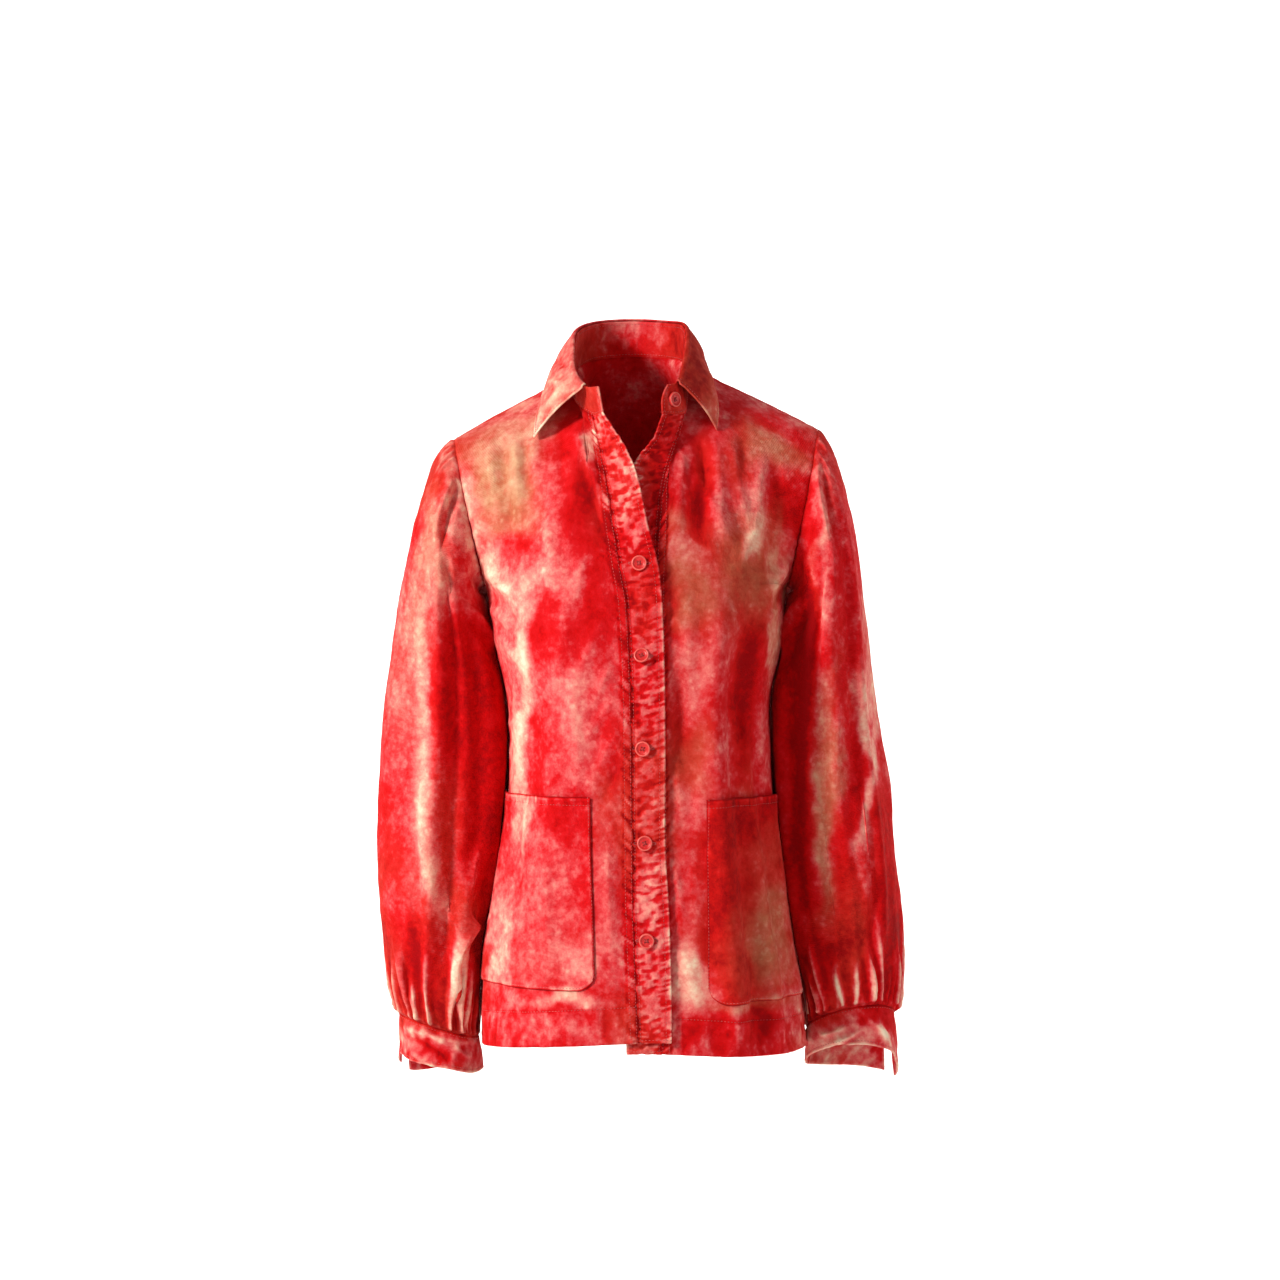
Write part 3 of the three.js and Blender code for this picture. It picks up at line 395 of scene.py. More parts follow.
def back_half(side, across, down):
    points, turn, drop = back_row(side, across, down)
    points = draw_to_top(
        points, lambda place: back_top(side, place),
        lambda place, level: back_row(side, place, level), across, down,
    )
    degrees = side.sign * (180 - np.degrees(turn))
    lift = fold_freedom(across, down) * fold_lift(BODY_FOLDS, degrees, drop)
    return points + lift[..., None] * point(side.sign * np.sin(turn), np.cos(turn), 0)


def back_point(across, down):
    """The outer surface of the back, from -1 at the right armhole to 1 at the left one."""
    across, down = np.broadcast_arrays(np.asarray(across, float), np.asarray(down, float))
    right, left = (back_half(side, np.abs(across), down) for side in (RIGHT, LEFT))
    return np.where((across < 0)[..., None], right, left)


# The cloth is a grid of threads, which a fold, crease or pucker lifts, and which then gets its
# thickness. All the pieces are cut from the same light twill, washed and dyed in blotches.
CLOTH = 0.9
SCATTER = (73856093, 19349663, 83492791)


def noise(places, size, seed):
    """Smooth lumps from -1 to 1 at places in millimetres, of a size for each axis."""
    grid = places / np.asarray(size, float)
    cell = np.floor(grid).astype(np.int64)
    part = grid - cell
    part = part * part * (3 - 2 * part)
    total = 0
    for corner in np.ndindex(2, 2, 2):
        key = sum((cell[..., k] + corner[k]) * SCATTER[k] for k in range(3))
        key = (key + seed * 1013904223) & 0x7FFFFFFF
        key = ((key ^ (key >> 15)) * 2246822519) & 0x7FFFFFFF
        key = ((key ^ (key >> 13)) * 3266489917) & 0x7FFFFFFF
        value = ((key ^ (key >> 16)) & 0xFFFF) / 32767.5 - 1
        weight = 1
        for k in range(3):
            weight = weight * (part[..., k] if corner[k] else 1 - part[..., k])
        total = total + weight * value
    return total


def spans(*parts):
    """Shares in order, from parts that each give a start, an end and a count of steps."""
    lines = [np.linspace(start, end, count + 1) for start, end, count in parts]
    return np.concatenate([line[1:] if i else line for i, line in enumerate(lines)])


class Panel:
    """A piece of cloth as rows and columns of points in millimetres."""

    def __init__(self, points, flip=False, closed=False):
        self.points = points
        self.flip = flip
        self.closed = closed
        # The shade is painted light and shade, with the paler wear of some edges, added to the
        # cloth's fade level.
        self.shade = np.zeros(points.shape[:2])
        across = np.linalg.norm(np.diff(points, axis=1), axis=2)
        along = np.linalg.norm(np.diff(points, axis=0), axis=2)
        self.across = np.pad(np.cumsum(across, 1), ((0, 0), (1, 0)))
        self.down = np.pad(np.cumsum(along, 0), ((1, 0), (0, 0)))
        self.to_end = self.across[:, -1:] - self.across
        self.to_hem = self.down[-1:] - self.down

    def normals(self):
        across = np.gradient(self.points, axis=1)
        if self.closed:
            wrap = self.points[:, 1] - self.points[:, -2]
            across[:, 0] = across[:, -1] = wrap / 2
        cross = np.cross(across, np.gradient(self.points, axis=0))
        cross /= np.linalg.norm(cross, axis=2, keepdims=True) + 1e-9
        return -cross if self.flip else cross

    def lift(self, amount):
        self.points = self.points + self.normals() * np.asarray(amount)[..., None]

    def lumps(self, across, down, seed):
        """Lumps on the cloth's own surface, of a size across and a size down."""
        if self.closed:
            turn = 2 * math.pi * self.across / self.across[:, -1:]
            radius = self.across[:, -1:].mean() / (2 * math.pi)
            places = point(radius * np.cos(turn), radius * np.sin(turn), self.down)
            return noise(places, (across, across, down), seed)
        return noise(point(self.across, self.down, 0), (across, down, 1), seed)

    def rucks(self, coarse, fine, share, seed):
        """Coarse lumps with a share of finer ones on them."""
        return self.lumps(*coarse, seed) + share * self.lumps(*fine, seed + 1)

    def facing(self, low, high):
        """How far the cloth faces the front: 0 at the low value and 1 at the high one."""
        return smooth(-self.normals()[..., 1], low, high)

    def place(self, row, column):
        """A point and normal of the finished cloth at a row and column, parts and all."""
        r = np.clip(row, 0, self.points.shape[0] - 1.001)
        c = np.clip(column, 0, self.points.shape[1] - 1.001)
        i, j = np.floor(r).astype(int), np.floor(c).astype(int)
        u, v = (r - i)[..., None], (c - j)[..., None]
        found = []
        for field in (self.points, self.normals()):
            upper = mix(field[i, j], field[i, j + 1], v)
            lower = mix(field[i + 1, j], field[i + 1, j + 1], v)
            found.append(mix(upper, lower, u))
        return found


CREASE_DEPTH = 2.3
CREASE_SPREAD = 1.25
CREASE_SHARPNESS = 1.5


def creases(points, rows):
    """Soft ridges and troughs, each along a bowed line across the shirt as seen from the front."""
    x, z = points[..., 0], points[..., 2]
    lift = 0
    for row in rows:
        length = math.hypot(row.x2 - row.x1, row.z2 - row.z1)
        run = ((row.x2 - row.x1) / length, (row.z2 - row.z1) / length)
        along = ((x - row.x1) * run[0] + (z - row.z1) * run[1]) / length
        off = (x - row.x1) * run[1] - (z - row.z1) * run[0] - row.bow * 4 * along * (1 - along)
        ends = smooth(along, -0.05, 0.3) * (1 - smooth(along, 0.6, 1.05))
        profile = np.exp(-np.abs(off / row.width / CREASE_SPREAD) ** CREASE_SHARPNESS)
        lift = lift + CREASE_DEPTH * row.lift * profile * ends
    return lift


def blotches(rows):
    """Blotches of the wash by place, seen from the front, with how pale and how tan they are; the
    pale level of some also holds painted shade.
    """
    return table("x z wide high lean faded tan", rows)


def crease_lines(rows):
    return table("x1 z1 x2 z2 bow lift width", rows)


# Some blotches also stand for shade: the deep red blotch below the left side of the collar is
# partly painted shadow, and the dark streak beside it is painted shade in a trough.
WASHES = blotches([
    [-128, -122, 38, 48, 0, 0.68, 1.1], [-104, -74, 40, 17, 25, 0.7, 0.6],
    [-62, -72, 11, 24, 0, 0.24, 0], [-45, -95, 9, 34, -18, 0.84, 0.25],
    [-46, -150, 26, 56, 24, 0.2, 0], [-84, -128, 14, 44, 0, 0.5, 0],
    [-118, -186, 18, 14, 0, 0.34, 0], [-134, -212, 13, 30, 12, 0.84, 0.1],
    [-106, -246, 24, 26, 0, 0.8, 0.05], [-92, -266, 14, 26, 0, 0.24, 0],
    [-108, -314, 9, 46, 0, 0.86, 0.15], [-62, -322, 34, 30, 0, 0.6, 0],
    [-34, -240, 12, 40, 0, 0.22, 0], [-74, -286, 10, 20, 0, 0.3, 0],
    [-106, -388, 11, 52, -4, 0.85, 0.1], [-76, -382, 20, 40, 0, 0.5, 0],
    [-40, -372, 12, 22, 0, 0.68, 0], [-22, -386, 14, 34, 0, 0.3, 0], [-118, -436, 8, 20, 0, 0.8, 0],
    [-62, -452, 18, 34, 0, 0.3, 0], [-96, -520, 36, 60, 0, 0.52, 0],
    [-134, -560, 12, 46, 0, 0.74, 0], [-30, -520, 18, 60, 0, 0.46, 0],
    [-70, -612, 26, 8, 0, 0.86, 0.1], [-90, -640, 60, 12, 0, 0.5, 0],
    [-52, -574, 10, 12, 0, 0.8, 0], [-16, -128, 12, 50, -16, 0.6, 0.1],
    [4, -170, 12, 34, -10, 0.52, 0], [8, -240, 14, 42, 0, 0.32, 0.1], [10, -330, 14, 40, 0, 0.4, 0],
    [12, -420, 14, 42, 0, 0.42, 0.1], [14, -500, 13, 30, 0, 0.6, 0], [14, -600, 15, 46, 0, 0.5, 0],
    [34, -150, 22, 80, 10, 0.08, 0], [42, -110, 12, 24, 10, 0.42, 0], [60, -140, 8, 38, 4, 0.1, 0],
    [94, -110, 22, 20, -10, 0.26, 0.2], [60, -100, 6, 30, 6, 0.4, 0.1],
    [132, -92, 34, 14, -24, 0.56, 0.8], [84, -138, 10, 22, 0, 0.46, 0],
    [146, -150, 16, 20, 0, 0.14, 0], [110, -206, 26, 44, 0, 0.28, 0.85],
    [116, -178, 8, 22, -12, 0.74, 0.3], [44, -166, 9, 14, 0, 0.36, 0.5],
    [48, -196, 18, 20, 0, 0.64, 0.25], [50, -232, 16, 26, 0, 0.42, 0.75],
    [54, -300, 14, 26, 0, 0.5, 0.1], [106, -300, 12, 30, 0, 0.16, 0],
    [132, -278, 7, 24, 0, 0.72, 0.5], [46, -336, 14, 26, 0, 0.5, 0.05],
    [86, -390, 14, 26, 0, 0.44, 0], [54, -390, 14, 26, 0, 0.36, 0.5],
    [52, -440, 12, 24, 0, 0.52, 0], [44, -500, 14, 40, 0, 0.44, 0],
    [52, -590, 18, 30, 24, 0.8, 0.1], [80, -490, 22, 80, 0, 0.08, 0],
    [118, -560, 26, 36, 0, 0.56, 0.8], [110, -616, 40, 7, 0, 0.5, 0.5],
    [110, -640, 44, 10, 0, 0.22, 0], [-196, -180, 12, 60, 8, 0.7, 0.55],
    [-210, -250, 16, 44, 0, 0.64, 0.4], [-176, -150, 8, 50, 10, 0.82, 0.2],
    [-226, -330, 22, 56, 0, 0.56, 0.2], [-198, -350, 8, 110, -2, 0.68, 0.1],
    [-228, -430, 22, 60, 0, 0.5, 0], [-198, -470, 9, 70, -3, 0.62, 0.1],
    [-160, -500, 16, 24, -40, 0.74, 0], [-226, -540, 20, 40, 0, 0.56, 0],
    [-162, -330, 26, 110, 0, 0.36, 0], [-148, -450, 16, 90, 0, 0.36, 0],
    [-206, -590, 20, 40, 0, 0.22, 0], [-168, -590, 14, 40, 20, 0.6, 0],
    [-172, -128, 4, 34, 12, 0.2, 0], [-176, -108, 14, 34, 14, 0.56, 0.3],
    [-160, -165, 8, 56, 12, 0.84, 0.1], [177, -190, 5, 80, 0, 0.74, 0.2],
    [136, -228, 6, 60, 0, 0.66, 0.7], [184, -120, 10, 50, -6, 0.46, 0.1],
    [204, -180, 14, 40, 0, 0.4, 0], [222, -260, 10, 60, -6, 0.66, 0.2],
    [224, -380, 7, 110, -3, 0.84, 0.1], [240, -430, 12, 80, -4, 0.52, 0.1],
    [200, -300, 14, 60, 0, 0.28, 0], [184, -430, 9, 100, -2, 0.52, 0.85],
    [166, -300, 14, 90, 0, 0.06, 0], [160, -440, 12, 80, 0, 0.1, 0], [240, -480, 9, 80, 0, 0.18, 0],
    [208, -470, 7, 90, 0, 0.18, 0], [240, -580, 14, 50, 0, 0.36, 0],
    [206, -560, 16, 50, 0, 0.34, 0.3], [176, -600, 10, 40, 0, 0.2, 0],
    [-200, -670, 40, 12, 0, 0.5, 0], [212, -672, 40, 12, 0, 0.46, 0.2],
])
# The same for the back, seen from the front too.
BACK_WASHES = blotches([
    [-110, -90, 40, 30, 10, 0.6, 0.7], [96, -96, 44, 26, -14, 0.56, 0.5],
    [-4, -70, 30, 24, 0, 0.24, 0], [-70, -180, 30, 60, 12, 0.34, 0],
    [10, -160, 34, 50, -8, 0.66, 0.1], [96, -210, 30, 60, 6, 0.24, 0],
    [-110, -280, 26, 60, 0, 0.74, 0.2], [-30, -290, 30, 44, 20, 0.2, 0],
    [46, -300, 26, 56, -10, 0.72, 0.1], [108, -350, 22, 60, 0, 0.5, 0.7],
    [-70, -400, 34, 50, -14, 0.54, 0], [10, -430, 34, 44, 0, 0.3, 0],
    [76, -470, 26, 54, 8, 0.66, 0], [-110, -520, 30, 56, 0, 0.26, 0],
    [-34, -540, 30, 50, 10, 0.76, 0.1], [34, -580, 34, 40, 0, 0.42, 0.2],
    [116, -600, 34, 44, 0, 0.58, 0.4], [-80, -630, 50, 16, 0, 0.6, 0],
    [-196, -180, 20, 60, 6, 0.6, 0.3], [-206, -300, 20, 60, 0, 0.3, 0],
    [-190, -420, 22, 70, 0, 0.66, 0.1], [-210, -540, 24, 60, 0, 0.36, 0],
    [192, -190, 20, 60, -6, 0.3, 0], [204, -320, 22, 60, 0, 0.64, 0.3],
    [200, -450, 22, 60, 0, 0.28, 0], [216, -560, 24, 50, 0, 0.58, 0.1],
])


def washed(points, normals, own=()):
    """How pale and how tan the cloth is at points, the pale level with the painted shade that some
    blotches hold. A piece may have blotches of its own.
    """
    swirl = np.stack([noise(points, (34, 34, 40), 11 + k) for k in range(3)], -1) * 13
    grain = np.stack([noise(points, (9, 9, 11), 21 + k) for k in range(3)], -1) * 4.5
    places = points + swirl + grain
    clouds = 0.42 + 0.26 * noise(points, (52, 52, 70), 31) + 0.12 * noise(points, (17, 17, 22), 32)
    faded, tan = clouds, 0.25 * smooth(noise(points, (90, 90, 110), 33), 0.1, 0.6)
    facing = smooth(-normals[..., 1], -0.25, 0.15)
    for rows, seen in ((WASHES, facing), (BACK_WASHES, 1 - facing), (own, 1)):
        for row in rows:
            lean = math.radians(row.lean)
            x, z = places[..., 0] - row.x, places[..., 2] - row.z
            wide = (x * math.cos(lean) + z * math.sin(lean)) / row.wide
            high = (z * math.cos(lean) - x * math.sin(lean)) / row.high
            reach = wide ** 2 + high ** 2
            weight = 0.92 * seen * np.exp(-(reach ** 1.6) * 0.62)
            faded = mix(faded, row.faded, weight)
            tan = mix(tan, row.tan, weight)
    return faded + 0.1 * noise(points, (11, 11, 14), 34) + 0.05 * noise(points, (5, 5, 6), 35), tan


def reckon(tree, operation, first, second):
    """A sum or a product of two outputs or constants."""
    return add_node(tree, "ShaderNodeMath", {0: first, 1: second}, operation=operation).outputs[0]


def dyed_cotton():
    """Red cotton twill, fading through rose and peach to cream by its faded and tan values; the
    first also carries painted light and shade.
    """
    material, tree, shader, place = new_finish(
        "dyed_cotton", Roughness=0.88, Specular_IOR_Level=0.08, Sheen_Weight=0.05,
        Sheen_Roughness=0.4, Sheen_Tint=(1.0, 0.42, 0.36, 1),
    )

    def attribute(name):
        return add_node(tree, "ShaderNodeAttribute", attribute_name=name).outputs["Fac"]

    def scaled(value, share, middle=None):
        if middle is not None:
            value = reckon(tree, "SUBTRACT", value, middle)
        return reckon(tree, "MULTIPLY", value, share)

    # Flecks are the small pale spots that the bleach has left.
    cells = add_node(tree, "ShaderNodeTexVoronoi", {"Vector": place, "Scale": 130})
    fleck = add_node(
        tree, "ShaderNodeMapRange",
        {"Value": cells.outputs["Distance"], "From Min": 0.42, "From Max": 0.12},
        interpolation_type="SMOOTHSTEP",
    )
    flecks = reckon(
        tree, "MULTIPLY", fleck.outputs["Result"], scaled(lumps(tree, place, 38, 2, 0.6), 0.13),
    )
    mottle = scaled(lumps(tree, place, 150, 3, 0.55), 0.46, middle=0.5)
    speck = scaled(lumps(tree, place, 520, 2, 0.6), 0.16, middle=0.5)
    flecks = reckon(tree, "SUBTRACT", flecks, 0.03)
    uneven = reckon(tree, "ADD", flecks, reckon(tree, "ADD", mottle, speck))
    level = reckon(tree, "ADD", attribute("faded"), uneven)
    dye = ramp(
        tree, level, (0, (0.34, 0.001, 0.003)), (0.2, (0.57, 0.0015, 0.003)),
        (0.35, (0.65, 0.007, 0.012)), (0.47, (0.71, 0.045, 0.055)), (0.59, (0.79, 0.13, 0.13)),
        (0.72, (0.86, 0.27, 0.23)), (0.86, (0.92, 0.5, 0.38)), (1, (0.96, 0.76, 0.58)),
    )
    brown = ramp(
        tree, level, (0, (0.28, 0.008, 0.006)), (0.5, (0.5, 0.14, 0.07)), (1, (0.74, 0.46, 0.28)),
    )
    patchy = reckon(tree, "ADD", lumps(tree, place, 90, 3, 0.6), 0.45)
    tan = reckon(tree, "MULTIPLY", attribute("tan"), patchy)
    blend = add_node(tree, "ShaderNodeMix", data_type="RGBA")
    fill(tree, blend, {"Factor": tan, "A": dye, "B": brown})

    # The twill's slanting ribs lie over the small rucks that washing leaves.
    threads = add_node(tree, "ShaderNodeUVMap", uv_map="threads").outputs["UV"]
    twill = add_node(
        tree, "ShaderNodeTexWave",
        {"Vector": threads, "Scale": 420, "Distortion": 1.2, "Detail": 1},
        wave_type="BANDS", bands_direction="DIAGONAL",
    )
    rucks = scaled(lumps(tree, place, 120, 4, 0.6), 1.1)
    height = reckon(
        tree, "ADD", scaled(twill.outputs["Fac"], 0.12),
        reckon(tree, "ADD", rucks, scaled(lumps(tree, place, 420, 2, 0.6), 0.22)),
    )
    bump = add_node(tree, "ShaderNodeBump", {"Height": height, "Strength": 0.7, "Distance": 0.0022})
    fill(tree, shader, {"Base Color": blend.outputs["Result"], "Normal": bump.outputs["Normal"]})
    return material


COTTON = dyed_cotton()


def unit(vectors):
    return vectors / (np.linalg.norm(vectors, axis=-1, keepdims=True) + 1e-9)


def add_piece(name, mesh, node):
    """Adds a mesh to the shirt, and in place of its node where it has one."""
    piece = bpy.data.objects.new(name, mesh)
    bpy.context.scene.collection.objects.link(piece)
    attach(piece, "root")
    if node:
        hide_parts(node)
    return piece


def cloth_piece(name, panel, node, cloth=CLOTH, own=()):
    """Gives a panel its thickness and rounded edges, and makes it the piece for its node."""
    rows, columns = panel.points.shape[:2]
    normals = panel.normals()
    thick = np.broadcast_to(cloth, (rows, columns))[..., None]
    outer = panel.points
    inner = outer - normals * thick
    out = np.zeros_like(outer)
    out[0] += unit(outer[0] - outer[1])
    out[-1] += unit(outer[-1] - outer[-2])
    index = np.arange(rows * columns).reshape(rows, columns)
    if panel.closed:
        rims = [index[0], index[-1][::-1]]
    else:
        out[:, 0] += unit(outer[:, 0] - outer[:, 1])
        out[:, -1] += unit(outer[:, -1] - outer[:, -2])
        rims = [np.concatenate([
            index[0, :-1], index[:-1, -1], index[-1, :0:-1], index[:0:-1, 0], index[0, :1],
        ])]
    middle = ((outer + inner) / 2 + unit(out) * thick * 0.45).reshape(-1, 3)
    count = rows * columns
    rim = np.concatenate(rims)
    points = np.concatenate([outer.reshape(-1, 3), inner.reshape(-1, 3), middle[rim]])
    source = np.concatenate([index.ravel(), index.ravel(), rim])
    weld = np.arange(len(points))
    if panel.closed:
        weld[index[:, -1]] = index[:, 0]
        weld[index[:, -1] + count] = index[:, 0] + count
    corners = [index[:-1, :-1], index[:-1, 1:], index[1:, 1:], index[1:, :-1]]
    quads = np.stack(corners, -1).reshape(-1, 4)
    faces = [quads, quads[:, ::-1] + count]
    start = 2 * count
    for line in rims:
        edge = np.arange(start, start + len(line))
        weld[edge[-1]] = edge[0]
        faces.append(np.stack([line[1:], line[:-1], edge[:-1], edge[1:]], -1))
        faces.append(np.stack([edge[1:], edge[:-1], line[:-1] + count, line[1:] + count], -1))
        start += len(line)
    faces = np.concatenate(faces)
    if panel.flip:
        faces = faces[:, ::-1]
    used, place = np.unique(weld, return_inverse=True)
    mesh = bpy.data.meshes.new(name)
    mesh.vertices.add(len(used))
    mesh.vertices.foreach_set("co", (points[used] / 1000).astype(np.float32).ravel())
    mesh.loops.add(faces.size)
    mesh.loops.foreach_set("vertex_index", place[faces].astype(np.int32).ravel())
    mesh.polygons.add(len(faces))
    mesh.polygons.foreach_set("loop_start", np.arange(0, faces.size, 4, dtype=np.int32))
    mesh.update(calc_edges=True)
    threads = np.stack([panel.across.ravel()[source], panel.down.ravel()[source]], -1) / 1000
    layer = mesh.uv_layers.new(name="threads")
    layer.data.foreach_set("uv", threads[faces].astype(np.float32).ravel())
    faded, tan = washed(points[used], normals.reshape(-1, 3)[source][used], own)
    # The fade level takes the panel's painted light and shade, and its wear, on top of the wash.
    for label, value in (("faded", faded + panel.shade.ravel()[source][used]), ("tan", tan)):
        attribute = mesh.attributes.new(label, "FLOAT", "POINT")
        attribute.data.foreach_set("value", value.astype(np.float32))
    mesh.shade_smooth()
    mesh.materials.append(COTTON)
    return add_piece(name, mesh, node)


def near(distance, width):
    """1 on a line, dying away on both of its sides within about a width."""
    return np.exp(-((distance / width) ** 2))


SEAM_WIDTH = 1.6
SEAM_LINE = 1.3
SEAM_SHADE = 0.16
PUCKER_REACH = 9


def seam_edge(panel, distance, ruck, pucker=0.5, groove=0.7):
    """Draws the cloth in at a seam, and puckers it for a finger's width beside the seam. Paints
    shade along the seam, and light and shade on the puckers.
    """
    beside = near(distance, PUCKER_REACH)
    panel.lift(-groove * near(distance, SEAM_WIDTH) + pucker * ruck * beside)
    panel.shade += -SEAM_SHADE * near(distance, SEAM_LINE) + SEAM_SHADE * ruck * beside


# The thread is red cotton, in a lockstitch a little over two millimetres long. Each line lies on
# the finished cloth, and every stitch is a small swollen bar.
STITCH = 2.3
STITCH_GAP = 0.9
THREAD_RADIUS = 0.3
PROUD = 0.12


def thread():
    material, tree, shader, place = new_finish("thread", Roughness=0.6, Sheen_Weight=0.2)
    colour = ramp(
        tree, lumps(tree, place, 60, 3), (0.35, (0.34, 0.006, 0.012)), (0.65, (0.66, 0.09, 0.09)),
    )
    twist = lumps(tree, place, 2600)
    bump = add_node(tree, "ShaderNodeBump", {"Height": twist, "Distance": 0.0001})
    fill(tree, shader, {"Base Color": colour, "Normal": bump.outputs["Normal"]})
    return material


THREAD = thread()


def stitch_tree():
    """Lays a bar of thread on each step of a line."""
    tree = bpy.data.node_groups.new("stitches", "GeometryNodeTree")
    tree.is_modifier = True
    for name, kind in (
        ("Lines", "Geometry"), ("Stitch Length", "Float"), ("Stitch Gap", "Float"),
        ("Thread Radius", "Float"), ("Thread", "Material"),
    ):
        tree.interface.new_socket(name, in_out="INPUT", socket_type="NodeSocket" + kind)
    tree.interface.new_socket("Stitches", in_out="OUTPUT", socket_type="NodeSocketGeometry")
    given = add_node(tree, "NodeGroupInput").outputs
    line = add_node(tree, "GeometryNodeMeshToCurve", {"Mesh": given["Lines"]})
    pitch = reckon(tree, "ADD", given["Stitch Length"], given["Stitch Gap"])
    steps = add_node(
        tree, "GeometryNodeResampleCurve", {"Curve": line.outputs["Curve"], "Length": pitch},
        mode="LENGTH",
    )
    tangent = add_node(tree, "GeometryNodeInputTangent").outputs["Tangent"]
    turn = add_node(tree, "FunctionNodeAlignRotationToVector", {"Vector": tangent}, axis="X")
    bar = add_node(tree, "GeometryNodeMeshUVSphere", {"Segments": 5, "Rings": 3, "Radius": 1})
    rounded = add_node(tree, "GeometryNodeSetShadeSmooth", {"Geometry": bar.outputs["Mesh"]})
    uneven = add_node(
        tree, "FunctionNodeRandomValue", {2: 0.85, 3: 1.12, "Seed": 5}, data_type="FLOAT",
    )
    half = reckon(tree, "MULTIPLY", given["Stitch Length"], 0.5)
    length = reckon(tree, "MULTIPLY", half, uneven.outputs[1])
    size = add_node(tree, "ShaderNodeCombineXYZ", {
        "X": length, "Y": given["Thread Radius"], "Z": given["Thread Radius"],
    })
    put = add_node(tree, "GeometryNodeInstanceOnPoints", {
        "Points": steps.outputs["Curve"], "Instance": rounded.outputs["Geometry"],
        "Rotation": turn.outputs["Rotation"], "Scale": size.outputs["Vector"],
    })
    real = add_node(tree, "GeometryNodeRealizeInstances", {"Geometry": put.outputs["Instances"]})
    paint = add_node(tree, "GeometryNodeSetMaterial", {
        "Geometry": real.outputs["Geometry"], "Material": given["Thread"],
    })
    add_node(tree, "NodeGroupOutput", {"Stitches": paint.outputs["Geometry"]})
    return tree


STITCH_TREE = stitch_tree()


def sew(name, lines, stitch=STITCH, gap=STITCH_GAP, radius=THREAD_RADIUS):
    """Sews along lines of points in millimetres, and gives the stitches as one piece."""
    points = np.concatenate(lines) / 1000
    starts = np.cumsum([0] + [len(line) for line in lines[:-1]])
    edges = [
        (first + i, first + i + 1)
        for first, line in zip(starts, lines) for i in range(len(line) - 1)
    ]
    mesh = bpy.data.meshes.new(name + "_lines")
    mesh.from_pydata(points.tolist(), edges, [])
    path = bpy.data.objects.new(name + "_lines", mesh)
    bpy.context.scene.collection.objects.link(path)
    modifier = path.modifiers.new("stitches", "NODES")
    modifier.node_group = STITCH_TREE
    given = {
        "Stitch Length": stitch / 1000, "Stitch Gap": gap / 1000, "Thread Radius": radius / 1000,
        "Thread": THREAD,
    }
    for item in STITCH_TREE.interface.items_tree:
        if item.in_out == "INPUT" and item.name in given:
            modifier[item.identifier] = given[item.name]
    evaluated = path.evaluated_get(bpy.context.evaluated_depsgraph_get())
    sewn = bpy.data.meshes.new_from_object(evaluated)
    sewn.name = name
    bpy.data.objects.remove(path)
    return add_piece(name, sewn, None)


def column_where(panel, row, reach):
    """The column, parts and all, at which a row's length from its start reaches a distance."""
    return np.interp(reach, panel.across[row], np.arange(panel.points.shape[1]))


def line_down(panel, reach, from_end=False, proud=PROUD):
    """A line down the panel at a distance from its first or last column."""
    rows = np.arange(panel.points.shape[0])
    columns = np.array([
        column_where(panel, row, panel.across[row, -1] - reach if from_end else reach)
        for row in rows
    ])
    place, normal = panel.place(rows.astype(float), columns)
    return place + normal * proud


def line_across(panel, reach, from_end=False, proud=PROUD):
    """A line across the panel at a distance from its first or last row."""
    rows = np.arange(panel.points.shape[0])
    columns = np.arange(panel.points.shape[1])
    reached = np.array([
        np.interp(panel.down[-1, c] - reach if from_end else reach, panel.down[:, c], rows)
        for c in columns
    ])
    place, normal = panel.place(reached, columns.astype(float))
    return place + normal * proud


HEM_DEPTH = 33
HEM_TURNS = 0.7
BACK_COLUMNS = spans((-1, -0.97, 4), (-0.97, 0.97, 112), (0.97, 1, 4))
BACK_ROWS = spans((0, 0.04, 5), (0.04, 1, 54), (1, 1.92, 112), (1.92, 1.93, 2), (1.93, 2, 12))

BACK_CREASES = crease_lines([
    [-150, -190, -70, -250, 6, 2.6, 7], [146, -186, 60, -252, -6, 2.4, 7],
    [-140, -240, -40, -330, 8, 2.2, 9], [130, -250, 50, -360, -8, 2.4, 8],
    [-20, -30, -34, -170, 4, 1.8, 8], [24, -40, 40, -180, -4, 1.6, 7],
    [-60, -60, -70, -150, 0, -1.4, 7], [-118, -340, -60, -400, 4, 2.0, 7],
    [112, -346, 66, -420, -4, 1.8, 7], [-84, -420, -96, -600, 3, 2.2, 8],
    [60, -440, 84, -620, -3, 2.4, 9], [0, -330, 6, -520, 5, 1.6, 9],
    [-30, -480, -26, -640, 0, -1.8, 9], [96, -90, 60, -190, 6, 1.6, 9],
    [-104, -92, -84, -190, -6, 1.8, 8], [-150, -230, -90, -300, 6, -2.0, 5],
    [148, -226, 84, -300, -6, -2.0, 5], [-128, -300, -20, -350, 6, 1.8, 5],
    [124, -310, 30, -370, -6, 1.8, 5], [-60, -340, 40, -352, -5, 1.5, 5],
    [-120, -560, -90, -668, 3, 1.8, 7], [20, -540, 30, -668, -2, 1.6, 7],
    [110, -520, 128, -668, -3, 1.8, 7], [-6, -380, 10, -460, 3, -1.6, 6],
])


def soft_waves(panel, seed):
    """The slight unevenness that washed cotton keeps everywhere."""
    large, middling = panel.lumps(34, 60, seed), panel.lumps(12, 16, seed + 1)
    return 0.9 * large + 0.5 * middling + 0.26 * panel.lumps(5.5, 7, seed + 2)


def hemmed(panel):
    """The thickness of a panel that is turned up at its hem."""
    return CLOTH + HEM_TURNS * (1 - smooth(panel.to_hem, HEM_DEPTH - 1.5, HEM_DEPTH + 1.5))


